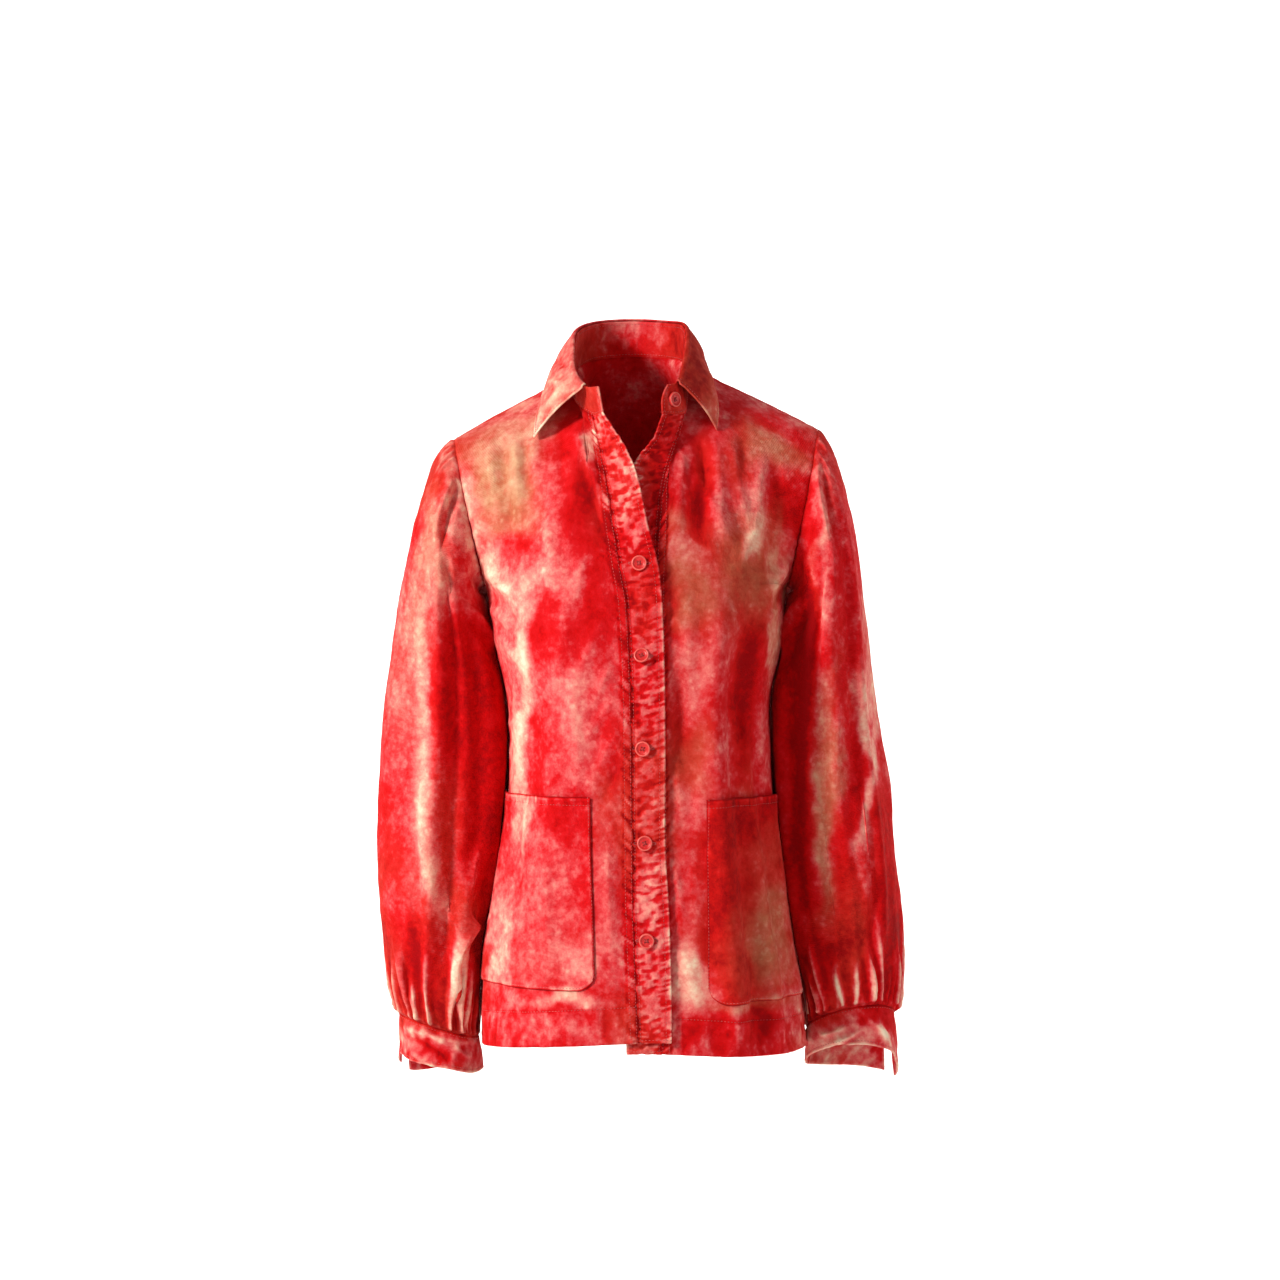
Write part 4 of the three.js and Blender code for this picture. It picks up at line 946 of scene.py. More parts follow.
def sew_hem(panel, ruck, lift, shade, line_shade):
    """Rucks the turned hem, and draws it in along its line of stitches. Paints light and shade on
    the rucks and shade along the line.
    """
    line = np.abs(panel.to_hem - HEM_DEPTH)
    panel.lift(lift * ruck - 0.4 * near(line, 1.5))
    panel.shade += shade * ruck - line_shade * near(line, 1.2)


back = Panel(back_point(BACK_COLUMNS[None, :], BACK_ROWS[:, None]))
back_inside = smooth(back.across, 0, 25) * smooth(back.to_end, 0, 25) * smooth(back.down, 0, 25)
back_creased = 1.5 * creases(back.points, BACK_CREASES)
back.lift(back_inside * (soft_waves(back, 101) + back_creased))
# Crease ridges are painted paler and their troughs darker: painted light and shade.
back.shade += 0.035 * back_inside * np.clip(back_creased, -4, 4)
for distance, seed in ((back.across, 111), (back.to_end, 112)):
    seam_edge(back, distance, back.lumps(14, 6, seed))
seam_edge(back, back.down, back.lumps(6, 14, 113))
hem_ruck = back.rucks((7, 11), (4, 12), 0.6, 114) * (1 - smooth(back.to_hem, 24, 46))
sew_hem(back, hem_ruck, lift=0.55, shade=0.12, line_shade=0.12)
back_piece = cloth_piece("back_cloth", back, "back", hemmed(back))
back_stitches = sew("back_stitches", [line_across(back, HEM_DEPTH, from_end=True)])


# The fronts: two pieces of the same cloth, cut to an open neck and hemmed like the back.
# Each hangs from the shoulder seam, and its button band is sewn down its inner edge.
front_at = curve("drop front", [
    [60, 74], [78, 80], [98, 87], [122, 95], [164, 107], [207, 117], [276, 124], [330, 121],
    [372, 118], [430, 117], [500, 119], [565, 121], [668, 124],
])
RIGHT.band_at = curve("drop seam edge reach", [
    [60, -42, -31, 26], [78, -38, -20, 24], [98, -34, -9, 20], [122, -29, 0, 15],
    [164, -22, 9, 9], [207, -15, 19.6, 4], [240, -9.5, 23, 2], [300, -6, 25, 1],
    [372, -4.5, 26, 0.5], [467, -3.5, 26, 0.5], [520, -3, 29, 0.5],
    [597, 0, 31.5, 0.5], [655, 2, 32, 0.5],
])
LEFT.band_at = curve("drop seam edge reach", [
    [60, 45, 26, 18], [84, 38, 17, 15], [108, 30, -1, 10], [140, 23, -9, 5],
    [207, 18, -14, 1], [300, 18.5, -13, 0], [372, 19, -12, 0], [555, 21, -10.5, 0],
    [660, 23, -9, 0],
])


def drop_at(side, across, down):
    """The drop of a row of a front. It is at 1 under the arm and at 2 at the hem."""
    hem = side.hem_at(across).drop
    return np.where(
        down <= 1, mix(NECK_DROP, UNDERARM_DROP, down), mix(UNDERARM_DROP, hem, down - 1),
    )


def front_row(side, across, down):
    across, down = np.broadcast_arrays(across, down)
    drop = drop_at(side, across, down)
    arm = sleeve_ring(side, 0, 180 * np.clip(down, 0, 1))
    outer = np.where((down <= 1)[..., None], arm, side_point(side, drop))
    seam = side.band_at(drop).seam
    oval = row_oval(outer, -front_at(drop).front, down)
    turn = mix(oval.turn_at(seam), oval.end_turn, across)
    x, y = oval.point_at(turn)
    z = mix(-drop, outer[..., 2], (x - seam) / (outer[..., 0] - seam))
    return point(x, y, z), turn, drop


def front_point(side, across, down):
    """The outer surface of a front: across from the band's seam, down from the shoulder seam."""
    across, down = np.broadcast_arrays(np.asarray(across, float), np.asarray(down, float))
    points, turn, drop = front_row(side, across, down)
    points = draw_to_top(
        points, lambda place: front_top(side, place),
        lambda place, level: front_row(side, place, level), across, down,
    )
    lift = fold_freedom(across, down) * fold_lift(BODY_FOLDS, side.sign * np.degrees(turn), drop)
    points = points + lift[..., None] * point(side.sign * np.sin(turn), -np.cos(turn), 0)
    under = 1 - smooth(points[..., 0], 32, 80)
    points[..., 1] += side.tuck * under * smooth(down, 0, 0.3)
    return points


FELL_WIDTH = 9
FELL_STITCHES = (7.4, 1.6)
FRONT_COLUMNS = spans((0, 0.012, 2), (0.012, 0.1, 12), (0.1, 0.975, 50), (0.975, 1, 4))
FRONT_ROWS = spans((0, 0.04, 5), (0.04, 1, 92), (1, 1.92, 246), (1.92, 1.93, 3), (1.93, 2, 18))
FRONT_CREASES = {
    "right": crease_lines([
        [-60, -72, -36, -140, -3, 3.0, 5], [-52, -92, -24, -190, 4, -2.2, 6],
        [-140, -78, -136, -140, 2, 1.3, 5], [-118, -72, -116, -150, -2, 1.6, 6],
        [-98, -66, -92, -140, 3, 1.3, 5], [-128, -76, -128, -140, 0, -1.2, 4],
        [-108, -70, -104, -150, 0, -1.3, 4], [-74, -66, -70, -150, 0, -1.4, 6],
        [-150, -196, -110, -236, 4, 2.2, 5], [-148, -214, -96, -270, 6, -1.6, 6],
        [-104, -230, -98, -330, 4, 1.6, 7], [-70, -240, -84, -340, -4, 1.4, 8],
        [-116, -300, -112, -420, -3, 2.0, 6], [-96, -330, -92, -460, 3, -1.7, 7],
        [-60, -290, -50, -420, 4, 1.5, 8], [-36, -300, -44, -440, -3, -1.4, 7],
        [-18, -360, -46, -430, 4, 1.4, 5], [-14, -390, -40, -450, 3, -1.1, 4],
        [-26, -450, -20, -590, 3, 1.4, 6], [-120, -600, -90, -640, 3, 1.0, 6],
        [-44, -600, -30, -648, 2, 1.1, 6], [-132, -260, -104, -300, 3, 1.8, 4],
        [-126, -350, -96, -380, -3, 1.4, 5], [-84, -150, -76, -220, 2, 1.4, 5],
        [-120, -130, -122, -190, 1, -1.4, 5], [-30, -250, -58, -330, 3, 1.4, 5],
        [-142, -240, -120, -262, 2, 1.6, 3], [-136, -250, -112, -284, 3, -1.3, 3],
        [-92, -200, -70, -230, 3, 1.2, 4], [-50, -190, -66, -250, -3, 1.3, 4],
        [-24, -300, -40, -340, 2, 1.3, 3], [-22, -330, -46, -372, 3, 1.1, 3],
        [-84, -470, -80, -580, 3, 1.2, 5], [-110, -450, -118, -560, -3, -1.2, 5],
    ]),
    "left": crease_lines([
        [46, -84, 40, -190, 3, 2.4, 6], [62, -80, 62, -200, -3, -3.2, 6],
        [76, -74, 84, -190, 3, 2.2, 7], [102, -74, 98, -150, 2, -1.6, 6],
        [120, -92, 116, -220, 4, 2.2, 6], [132, -100, 140, -190, 2, -2.0, 6],
        [150, -190, 116, -232, -4, 2.2, 5], [148, -212, 104, -272, -5, -1.6, 6],
        [84, -230, 92, -330, -3, 1.8, 7], [96, -270, 104, -400, 3, -2.8, 7],
        [50, -240, 56, -360, 4, 1.6, 7], [40, -300, 42, -420, 0, -1.4, 6],
        [118, -300, 122, -420, 4, 2.2, 6], [66, -380, 60, -470, 3, 1.6, 7],
        [52, -460, 52, -600, -3, 1.6, 6], [40, -560, 60, -640, -3, 1.8, 6],
        [70, -630, 76, -668, 0, -1.2, 5], [130, -630, 134, -666, 0, 1.2, 6],
        [76, -190, 92, -680, 4, 2.6, 13], [104, -210, 120, -690, 4, -2.6, 10],
        [92, -76, 108, -180, 3, 2.4, 6], [56, -100, 96, -190, 6, 1.6, 5],
        [110, -150, 96, -210, -3, 1.5, 5], [128, -210, 118, -330, 3, 1.6, 5],
        [44, -220, 66, -300, 3, 1.3, 5], [90, -560, 96, -660, 2, 1.5, 7],
        [140, -236, 118, -258, -2, 1.6, 3], [70, -130, 66, -190, 2, 1.4, 4],
        [34, -250, 52, -290, -3, 1.2, 4], [38, -380, 46, -450, 2, 1.2, 4],
        [34, -480, 44, -560, -2, 1.3, 4], [110, -440, 116, -560, 3, 1.4, 6],
    ]),
}


def front_panel(side):
    panel = Panel(
        front_point(side, FRONT_COLUMNS[None, :], FRONT_ROWS[:, None]), flip=side.sign > 0,
    )
    seed = 200 + side.seed
    inside = smooth(panel.across, 0, 14) * smooth(panel.to_end, 0, 22) * smooth(panel.down, 0, 18)
    creased = creases(panel.points, FRONT_CREASES[side.label])
    panel.lift(inside * (soft_waves(panel, seed) + creased))
    # Crease ridges are painted paler and their troughs darker: painted light and shade.
    panel.shade += 0.04 * inside * np.clip(creased, -4, 4)
    # The seam beside the band is felled flat, and its stitches ruck it into a ladder. The rucks get
    # painted light and shade, and the ladder's hollows, the fell line and the band seam get painted
    # shade.
    ruck = panel.rucks((11, 5), (5, 3), 0.5, seed + 4)
    near_band = near(panel.across, 16)
    in_fell = 1 - smooth(panel.across, FELL_WIDTH - 0.5, FELL_WIDTH + 4)
    ladder = np.tanh(3 * (panel.lumps(22, 2.3, seed + 6) * in_fell)) * in_fell
    panel.lift(0.6 * ruck * near_band + 0.5 * ladder)
    panel.shade += 0.1 * ruck * near_band + 0.34 * np.minimum(ladder, 0)
    felled = np.abs(panel.across - FELL_WIDTH)
    panel.lift(0.75 * smooth(FELL_WIDTH - panel.across, -0.7, 0.7) - 0.4 * near(felled, 1.1))
    panel.shade -= 0.18 * near(felled, 1.1) + 0.2 * near(panel.across, 1.2)
    seam_edge(panel, panel.across, ruck, pucker=0, groove=0.8)
    seam_edge(panel, panel.to_end, panel.lumps(14, 6, seed + 7))
    seam_edge(panel, panel.down, panel.lumps(6, 14, seed + 8))
    hem_ruck = panel.rucks((6, 11), (3, 12), 0.7, seed + 9) * (1 - smooth(panel.to_hem, 26, 46))
    sew_hem(panel, hem_ruck, lift=0.6, shade=0.13, line_shade=0.1)
    return panel


fronts = {}
for side in (RIGHT, LEFT):
    label = side.label
    fronts[label] = panel = front_panel(side)
    piece = cloth_piece(f"front_{label}_cloth", panel, f"front_{label}", hemmed(panel))
    lines = [line_across(panel, HEM_DEPTH, from_end=True)]
    lines += [line_down(panel, reach) for reach in FELL_STITCHES]
    stitches = sew(f"front_{label}_stitches", lines)


# The button bands: two straight strips of doubled cloth, stitched along both of their long edges.
# The stitching has shrunk more than the cloth, and rucks each band across from top to hem.
BAND_CLOTH = 1.8
BAND_STITCHES = SimpleNamespace(by_seam=1.8, by_edge=4.5, by_hem=2.2)
BAND_NECK_SHARE = 0.3
BAND_COLUMNS = spans((0, 0.06, 2), (0.06, 0.9, 14), (0.9, 1, 4))
BAND_ROWS = spans((0, 0.04, 6), (0.04, 1, 134), (1, 2, 360))


def band_row(side, across, down):
    start = front_point(side, 0 * across, down)
    band = side.band_at(drop_at(side, 0, down))
    start[..., 0] += (band.edge - band.seam) * across
    start[..., 1] -= band.reach * across
    return start


def band_point(side, across, down):
    """The outer surface of a band from its seam, 0, to its free edge, 1."""
    across, down = np.broadcast_arrays(np.asarray(across, float), np.asarray(down, float))
    neck = neck_point(mix(side.seam_share, side.free_share, across))
    pull = np.maximum(0, 1 - down / BAND_NECK_SHARE)[..., None]
    return band_row(side, across, down) + (neck - band_row(side, across, 0 * down)) * pull


bands = {}
for side in (RIGHT, LEFT):
    label = side.label
    seed = 300 + side.seed
    panel = Panel(band_point(side, BAND_COLUMNS[None, :], BAND_ROWS[:, None]), flip=side.sign < 0)
    ruck = panel.rucks((8, 5), (4.4, 3.2), 0.6, seed) + 0.5 * panel.lumps(20, 11, seed + 2)
    sewn_down = np.minimum(
        np.abs(panel.across - BAND_STITCHES.by_seam), np.abs(panel.to_end - BAND_STITCHES.by_edge),
    )
    beside = near(np.minimum(panel.across, panel.to_end - 2), 5.5)
    ladder = np.tanh(3 * (panel.lumps(20, 2.2, seed + 3) * beside))
    blocks = np.tanh(3 * panel.lumps(6, 3.6, seed + 4) + 1.6 * panel.lumps(3.4, 3, seed + 5))
    inner_part = smooth(panel.across, 3, 6) * smooth(panel.to_end, 5, 8)
    rucked = 0.5 * ruck + 0.45 * ladder + 0.55 * blocks * inner_part
    panel.lift(smooth(panel.down, 0, 8) * rucked - 0.4 * near(sewn_down, 0.9))
    # Painted light and shade on the rucks, painted shade in the hollows of the ladder and the
    # blocks, along the seam edge and along the stitches; the whole band a little paler, and its
    # free edge paler where it wears.
    panel.shade += (
        0.06 * ruck + 0.1
        + 0.34 * np.minimum(ladder, 0) + 0.3 * np.minimum(blocks, 0) * inner_part
        + 0.2 * near(panel.to_end, 1.2) - 0.3 * near(panel.across, 1.0)
        - 0.12 * near(sewn_down, 0.9)
    )
    bands[label] = panel
    piece = cloth_piece(f"band_{label}_cloth", panel, f"band_{label}", BAND_CLOTH)
    stitches = sew(f"band_{label}_stitches", [
        line_down(panel, BAND_STITCHES.by_seam),
        line_down(panel, BAND_STITCHES.by_edge, from_end=True),
        line_across(panel, BAND_STITCHES.by_hem, from_end=True),
    ])


# The collar stand: a stiffened strip round the neck, rounded at its left end, stitched all round.
# The fronts, the back and the bands are closed between its two layers.
STAND_CLOTH = 1.9
STAND_STITCH = 2.2
STAND_EDGE_STITCH = 2.4
STAND_END_ROUNDING = 0.035
STAND_SHARES = spans(
    (0, 0.008, 2), (0.008, 0.08, 16), (0.08, 0.92, 180), (0.92, 0.992, 16), (0.992, 1, 2),
)
STAND_HEIGHTS = spans((1, 0.97, 1), (0.97, 0.06, 14), (0.06, 0, 1))


def stand_point(share, height):
    """The stand from the neck seam, 0, to its top, 1."""
    share, height = np.broadcast_arrays(np.asarray(share, float), np.asarray(height, float))
    end = 1 - STAND_END_ROUNDING * height ** 3
    last = LEFT.seam_share
    held = np.where(share > last, mix(last, end, (share - last) / (1 - last)), share)
    neck = neck_at(held)
    top = point(neck.top_x, neck.top_y, neck.top_z)
    return mix(point(neck.x, neck.y, neck.z), top, height[..., None])


stand = Panel(stand_point(STAND_SHARES[None, :], STAND_HEIGHTS[:, None]))
stand_ruck = stand.rucks((5, 12), (3.4, 8), 0.5, 401)
stand.lift(0.28 * stand_ruck * smooth(stand.down, 0, 4))
# Painted light and shade on the rucks, and its two ends paler where they wear.
stand.shade += 0.12 * stand_ruck + 0.2 * near(np.minimum(stand.to_end, stand.across), 1.4)
STAND_WASHES = blotches([
    [-55, -10, 30, 60, 0, 0.34, 0.35], [45, -10, 30, 60, 0, 0.2, 0.2],
    [34, -50, 14, 16, 0, 0.4, 0.3],
])
stand_piece = cloth_piece("collar_stand_cloth", stand, "collar_stand", STAND_CLOTH, STAND_WASHES)
INSIDE = -STAND_CLOTH - PROUD
stand_stitches = sew("collar_stand_stitches", [
    line_across(stand, STAND_STITCH, from_end=True),
    line_across(stand, STAND_STITCH, from_end=True, proud=INSIDE),
    line_across(stand, STAND_EDGE_STITCH, proud=INSIDE),
    line_down(stand, STAND_EDGE_STITCH, from_end=True),
    line_down(stand, STAND_EDGE_STITCH),
])


# The collar leaf: two layers over a firm lining, turned down over the stand to its two points.
# Its edge is stitched a little way in, which leaves a rounded, faded rim.
LEAF_CLOTH = 1.7
EDGE_STITCH = 3
ROLL_SHARE = 0.14
ROLL_RADIUS = 4.4
BELLY = 2.5
LEAF_SHARES = spans((0.08, 0.09, 4), (0.09, 0.91, 190), (0.91, 0.92, 4))
LEAF_SPREADS = spans((0, 0.14, 8), (0.14, 0.9, 26), (0.9, 1, 6))
leaf_edge_at = curve("share x y z", [
    [0.08, -99, -64, -80], [0.17, -98, -46, -59], [0.27, -92, -23, -34], [0.36, -84, 2, -17],
    [0.43, -62, 53, -9], [0.5, -6, 81, -5], [0.57, 50, 53, -7], [0.64, 66, 2, -2],
    [0.73, 73, -23, -21], [0.83, 79, -46, -48], [0.92, 77, -62, -73],
])


def leaf_point(share, spread):
    """The leaf from its fold over the stand, 0, to its free edge, 1."""
    share, spread = np.broadcast_arrays(np.asarray(share, float), np.asarray(spread, float))
    neck, before, after = neck_at(share), neck_at(share - 0.01), neck_at(share + 0.01)
    out = unit(point(before.top_y - after.top_y, after.top_x - before.top_x, 0))
    turn = np.minimum(1, spread / ROLL_SHARE) * math.radians(85)
    roll = point(neck.top_x, neck.top_y, neck.top_z - 1 + ROLL_RADIUS * np.cos(turn))
    roll = roll + out * (ROLL_RADIUS * np.sin(turn))[..., None]
    edge = leaf_edge_at(share)
    along = np.maximum(0, (spread - ROLL_SHARE) / (1 - ROLL_SHARE))[..., None]
    belly = 4 * along * (1 - along)
    spread_out = mix(roll, point(edge.x, edge.y, edge.z), along)
    return spread_out + out * BELLY * belly + point(0, 0, 2) * belly


leaf = Panel(leaf_point(LEAF_SHARES[None, :], LEAF_SPREADS[:, None]))
leaf_free = np.minimum(leaf.to_hem, np.minimum(leaf.across, leaf.to_end))
leaf_ruck = leaf.rucks((6, 6), (3, 3), 0.5, 451)
LEAF_CREASES = crease_lines([
    [-98, -62, -70, -28, 2, 0.9, 2.4], [-88, -24, -64, -36, -2, 0.9, 2.0],
    [-80, 2, -66, -14, 2, -0.8, 2.4], [-92, -66, -80, -48, 0, -0.8, 2.0],
    [70, -8, 80, -56, 2, 0.9, 2.6], [62, 6, 74, -20, -2, -0.7, 2.6],
])
leaf_creased = creases(leaf.points, LEAF_CREASES)
leaf_creased = leaf_creased * smooth(leaf.down, 6, 16) * smooth(leaf_free, 2, 8)
# Crease ridges are painted paler and their troughs darker: painted light and shade.
leaf.shade += 0.09 * leaf_creased
leaf.lift(
    leaf_creased * leaf.facing(-0.2, 0.1)
    + 0.5 * leaf.lumps(24, 20, 453) * smooth(leaf.down, 4, 14)
    + 0.22 * leaf_ruck * near(leaf_free, 7) - 0.25 * near(leaf_free - EDGE_STITCH, 0.9)
)
# Painted light and shade on the rucks, and the worn paler rim at the free edge.
leaf.shade += 0.08 * leaf_ruck + 0.22 * near(leaf_free, 1.3)
LEAF_WASHES = blotches([
    [-84, -46, 26, 60, 0, 0.68, 0.35], [-70, 8, 20, 26, 0, 0.6, 0.2],
    [-98, -76, 12, 12, 0, 0.8, 0.1],
    [62, -10, 20, 60, 0, 0.14, 0.5], [76, -56, 10, 20, 0, 0.46, 0.6],
])
leaf_piece = cloth_piece("collar_leaf_cloth", leaf, "collar_leaf", LEAF_CLOTH, LEAF_WASHES)
leaf_stitches = sew("collar_leaf_stitches", [
    line_across(leaf, EDGE_STITCH, from_end=True),
    line_down(leaf, EDGE_STITCH), line_down(leaf, EDGE_STITCH, from_end=True),
])


# The sleeves: full sleeves in one piece each, eased into the armhole with small tucks at the top.
# Their lower ends are gathered into the cuffs, so that uneven flutes stand up from each cuff seam.
SLEEVE_TURNS = np.linspace(0, 360, 289)
SLEEVE_ATS = spans((0, 0.12, 3), (0.12, 2.6, 34), (2.6, 8, 52), (8, 10.75, 54), (10.75, 11, 7))
CLEARANCE = 3.5
TOUCHING = 1.2
UNDERARM = SimpleNamespace(press=17, turn=203, width=40)
SLEEVE_FOLDS = {
    "right": long_folds([
        [190, 64, 600, 68, 2, 8], [170, 84, 610, 86, 7, 8], [170, 97, 610, 100, -5, 7],
        [190, 120, 590, 122, -6, 12], [230, 20, 480, 30, 2, 14], [260, 232, 600, 240, -4, 12],
        [200, 268, 560, 262, 4, 11], [300, 306, 590, 300, -3, 12],
    ]),
    "left": long_folds([
        [160, 46, 600, 50, 4.5, 7], [170, 60, 610, 62, -4, 6], [180, 82, 610, 84, 4.5, 7],
        [190, 96, 600, 98, -4.5, 7],
        [240, 128, 590, 130, -5, 11], [240, 18, 520, 24, -2.5, 11], [240, 236, 600, 230, -4, 12],
        [210, 266, 580, 270, 4, 11], [300, 308, 590, 312, -3, 12],
    ]),
}


SLEEVE_CREASES = {
    "right": crease_lines([
        [-174, -112, -194, -190, 3, 2.6, 4], [-168, -118, -188, -196, 3, -3.2, 3.5],
        [-172, -236, -132, -302, -7, 3.6, 3.2], [-168, -246, -130, -312, -7, -2.6, 4],
        [-150, -214, -138, -226, 0, 2.0, 3], [-198, -200, -170, -262, -5, 2.4, 6],
        [-192, -520, -150, -560, 5, 3.4, 4.5], [-150, -470, -172, -590, 6, 3.0, 5],
        [-206, -400, -198, -540, 2, 2.6, 6], [-232, -300, -238, -420, 2, 1.6, 8],
        [-148, -520, -174, -596, 3, 3.2, 3], [-175, -580, -170, -646, 2, 3.0, 2.6],
        [-238, -556, -223, -632, -2, 2.6, 2.6], [-140, -480, -158, -548, -3, -2.4, 5],
    ]),
    "left": crease_lines([
        [172, -92, 186, -190, 2, 2.6, 3.6], [178, -96, 194, -190, 2, -2.4, 3.6],
        [166, -226, 138, -296, 6, 3.0, 4], [170, -238, 142, -318, 6, -2.6, 5],
        [182, -200, 178, -320, -3, 3.4, 4], [196, -300, 192, -460, 3, 2.4, 6],
        [214, -400, 222, -560, -3, 2.6, 6], [176, -440, 192, -590, -5, 2.6, 5],
        [238, -300, 246, -470, -3, 1.8, 7],
    ]),
}


# The turn of each sleeve's long fold by drop, and how far the deeper red holds inside it: partly
# dye kept in the fold, partly painted shade.
FOLD_DYE_AND_SHADE = {
    "right": curve("drop turn weight", [
        [150, 76, 0], [225, 78, 0.1], [262, 72, 0.75], [300, 76, 1], [400, 82, 1], [480, 88, 0.9],
        [540, 104, 0.8], [600, 100, 0.7], [640, 100, 0.4],
    ]),
    "left": curve("drop turn weight", [
        [100, 92, 0], [150, 92, 0.3], [200, 100, 0.5], [260, 101, 0.9], [340, 104, 0.9],
        [430, 112, 0.8], [520, 120, 0.7], [640, 120, 0.5],
    ]),
}


def clear_of_body(side, points, clearance):
    """Moves sleeve points out until they clear the side of the shirt beside them."""
    drop = -points[..., 2]
    body = body_at(drop)
    depth = np.where(points[..., 1] < SIDE_Y, front_at(drop).front + SIDE_Y, body.back - SIDE_Y)
    share = np.minimum(1, np.abs(points[..., 1] - SIDE_Y) / depth)
    width = body.right if side.sign < 0 else body.left
    limit = width * (1 - share ** ROUNDNESS) ** (1 / ROUNDNESS) + clearance
    close = (drop > UNDERARM_DROP) & (share < 1) & (np.abs(points[..., 0]) < limit)
    points[..., 0] = np.where(close, side.sign * limit, points[..., 0])
    return points


def flutes(turn, above, around, count, seed, reach, height, narrow, spread):
    """Uneven ridges that rise from a gathered seam, narrow at first and wider as they die away."""
    chance = np.random.default_rng(seed)
    lift = 0
    for i in range(count):
        centre = (i + chance.uniform(-0.34, 0.34)) * 360 / count
        drift, sway = chance.uniform(-0.07, 0.07), chance.uniform(-2.5, 2.5)
        tall = height * chance.uniform(0.45, 1.3)
        far = reach * chance.uniform(0.3, 1.2)
        path = centre + drift * above + sway * np.sin(above / 16 + i)
        off = ((turn - path + 180) % 360 - 180) * around / 360
        wide = narrow + spread * above / reach
        ends = smooth(above, 0, 5) * (1 - smooth(above, far * 0.3, far))
        lift = lift + tall * np.exp(-np.abs(off / wide) ** 1.7) * ends
    return lift


sleeves = {}
for side in (RIGHT, LEFT):
    label = side.label
    seed = 500 + side.seed
    turns, ats = np.broadcast_arrays(SLEEVE_TURNS[None, :], SLEEVE_ATS[:, None])
    base = sleeve_ring(side, ats, turns)
    plain = Panel(base, flip=side.sign < 0, closed=True)
    zero = 0 * SLEEVE_ATS
    middle = (sleeve_ring(side, SLEEVE_ATS, zero) + sleeve_ring(side, SLEEVE_ATS, 180 + zero)) / 2
    around, below, above = plain.across[:, -1:], plain.down, plain.to_hem
    crown = np.abs((turns + 180) % 360 - 180)
    folded = fold_lift(SLEEVE_FOLDS[label], turns, -middle[:, None, 2])
    folded = smooth(ats, 0.5, 3) * (1 - smooth(ats, 9.5, 11)) * folded
    gathered = flutes(turns, above, around, 21, seed, 150, 6.0, 1.7, 6.5)
    gathered = gathered + flutes(turns, above, around, 17, seed + 3, 60, 3.2, 1.3, 3.0)
    nipped = flutes(turns, above, around, 66, seed + 4, 13, 1.4, 1.0, 0.6)
    at_crown = 1 - smooth(crown, 40, 62)
    tucked = flutes(turns, below, around, 40, seed + 1, 62, 2.6, 1.5, 2.6) * at_crown
    hollow = 2.6 * smooth(above, 0, 14) * (1 - smooth(above, 50, 150))
    lift = folded + gathered + nipped + tucked - hollow
    points = base + lift[..., None] * unit(base - middle[:, None, :])
    # Under the arm the sleeve lies against the side of the shirt.
    beside = smooth(ats, 1.2, 2.4) * (1 - smooth(ats, 3.6, 5.2))
    pressed = UNDERARM.press * beside * near(turns - UNDERARM.turn, UNDERARM.width)
    points[..., 0] -= side.sign * pressed
    clearance = mix(CLEARANCE, TOUCHING, beside) * smooth(ats, 0, 2)
    panel = Panel(clear_of_body(side, points, clearance), flip=side.sign < 0, closed=True)
    calm = smooth(panel.down, 0, 14) * smooth(panel.to_hem, 0, 14)
    creased = creases(panel.points, SLEEVE_CREASES[label]) * panel.facing(-0.1, 0.2)
    panel.lift(calm * (soft_waves(panel, seed + 2) + creased))
    # Crease ridges are painted paler and their troughs darker: painted light and shade.
    panel.shade += 0.022 * calm * np.clip(creased, -4, 6)
    seam_edge(panel, panel.down, panel.lumps(6, 14, seed + 5))
    seam_edge(panel, panel.to_hem, panel.lumps(5, 12, seed + 6), pucker=0.2)
    # The ridges of the gathers are painted paler and their hollows darker, as painted highlight and
    # shade, and partly as wear.
    gather_light_and_wear = smooth(gathered + nipped, 1.8, 5.2) - 0.45 * (1 - smooth(gathered + nipped, 0.2, 1.6))
    gather_light_and_wear = gather_light_and_wear * smooth(above, 0, 5) * (1 - smooth(above, 60, 150))
    # Where the sleeve was folded for the bath it kept its red, and that side also turns from the
    # light: its inner side is painted deeper red, partly dye and partly painted shade, with a sharp
    # edge along the fold and a painted highlight just outside it.
    drop = -panel.points[..., 2]
    fold_turn = FOLD_DYE_AND_SHADE[label](drop).turn + 2.5 * panel.lumps(40, 26, seed + 7)
    inner_side = smooth(turns, fold_turn - 3, fold_turn + 4) * (1 - smooth(turns, 165, 195))
    begins = FOLD_DYE_AND_SHADE[label](drop).weight + 0.25 * panel.lumps(18, 18, seed + 8)
    kept_and_shaded = inner_side * np.clip(begins, 0, 1)
    fold_highlight = near(turns - fold_turn + 9, 7) * np.clip(begins, 0, 1)
    panel.shade += 0.2 * fold_highlight - 0.2 * kept_and_shaded
    # The gather ridges and the tucks at the crown are painted paler and their hollows darker:
    # painted light and shade.
    panel.shade += 0.5 * gather_light_and_wear + 0.08 * (tucked - 0.8) * (1 - smooth(below, 40, 70)) * at_crown
    sleeves[label] = panel
    piece = cloth_piece(f"sleeve_{label}_cloth", panel, f"sleeve_{label}")


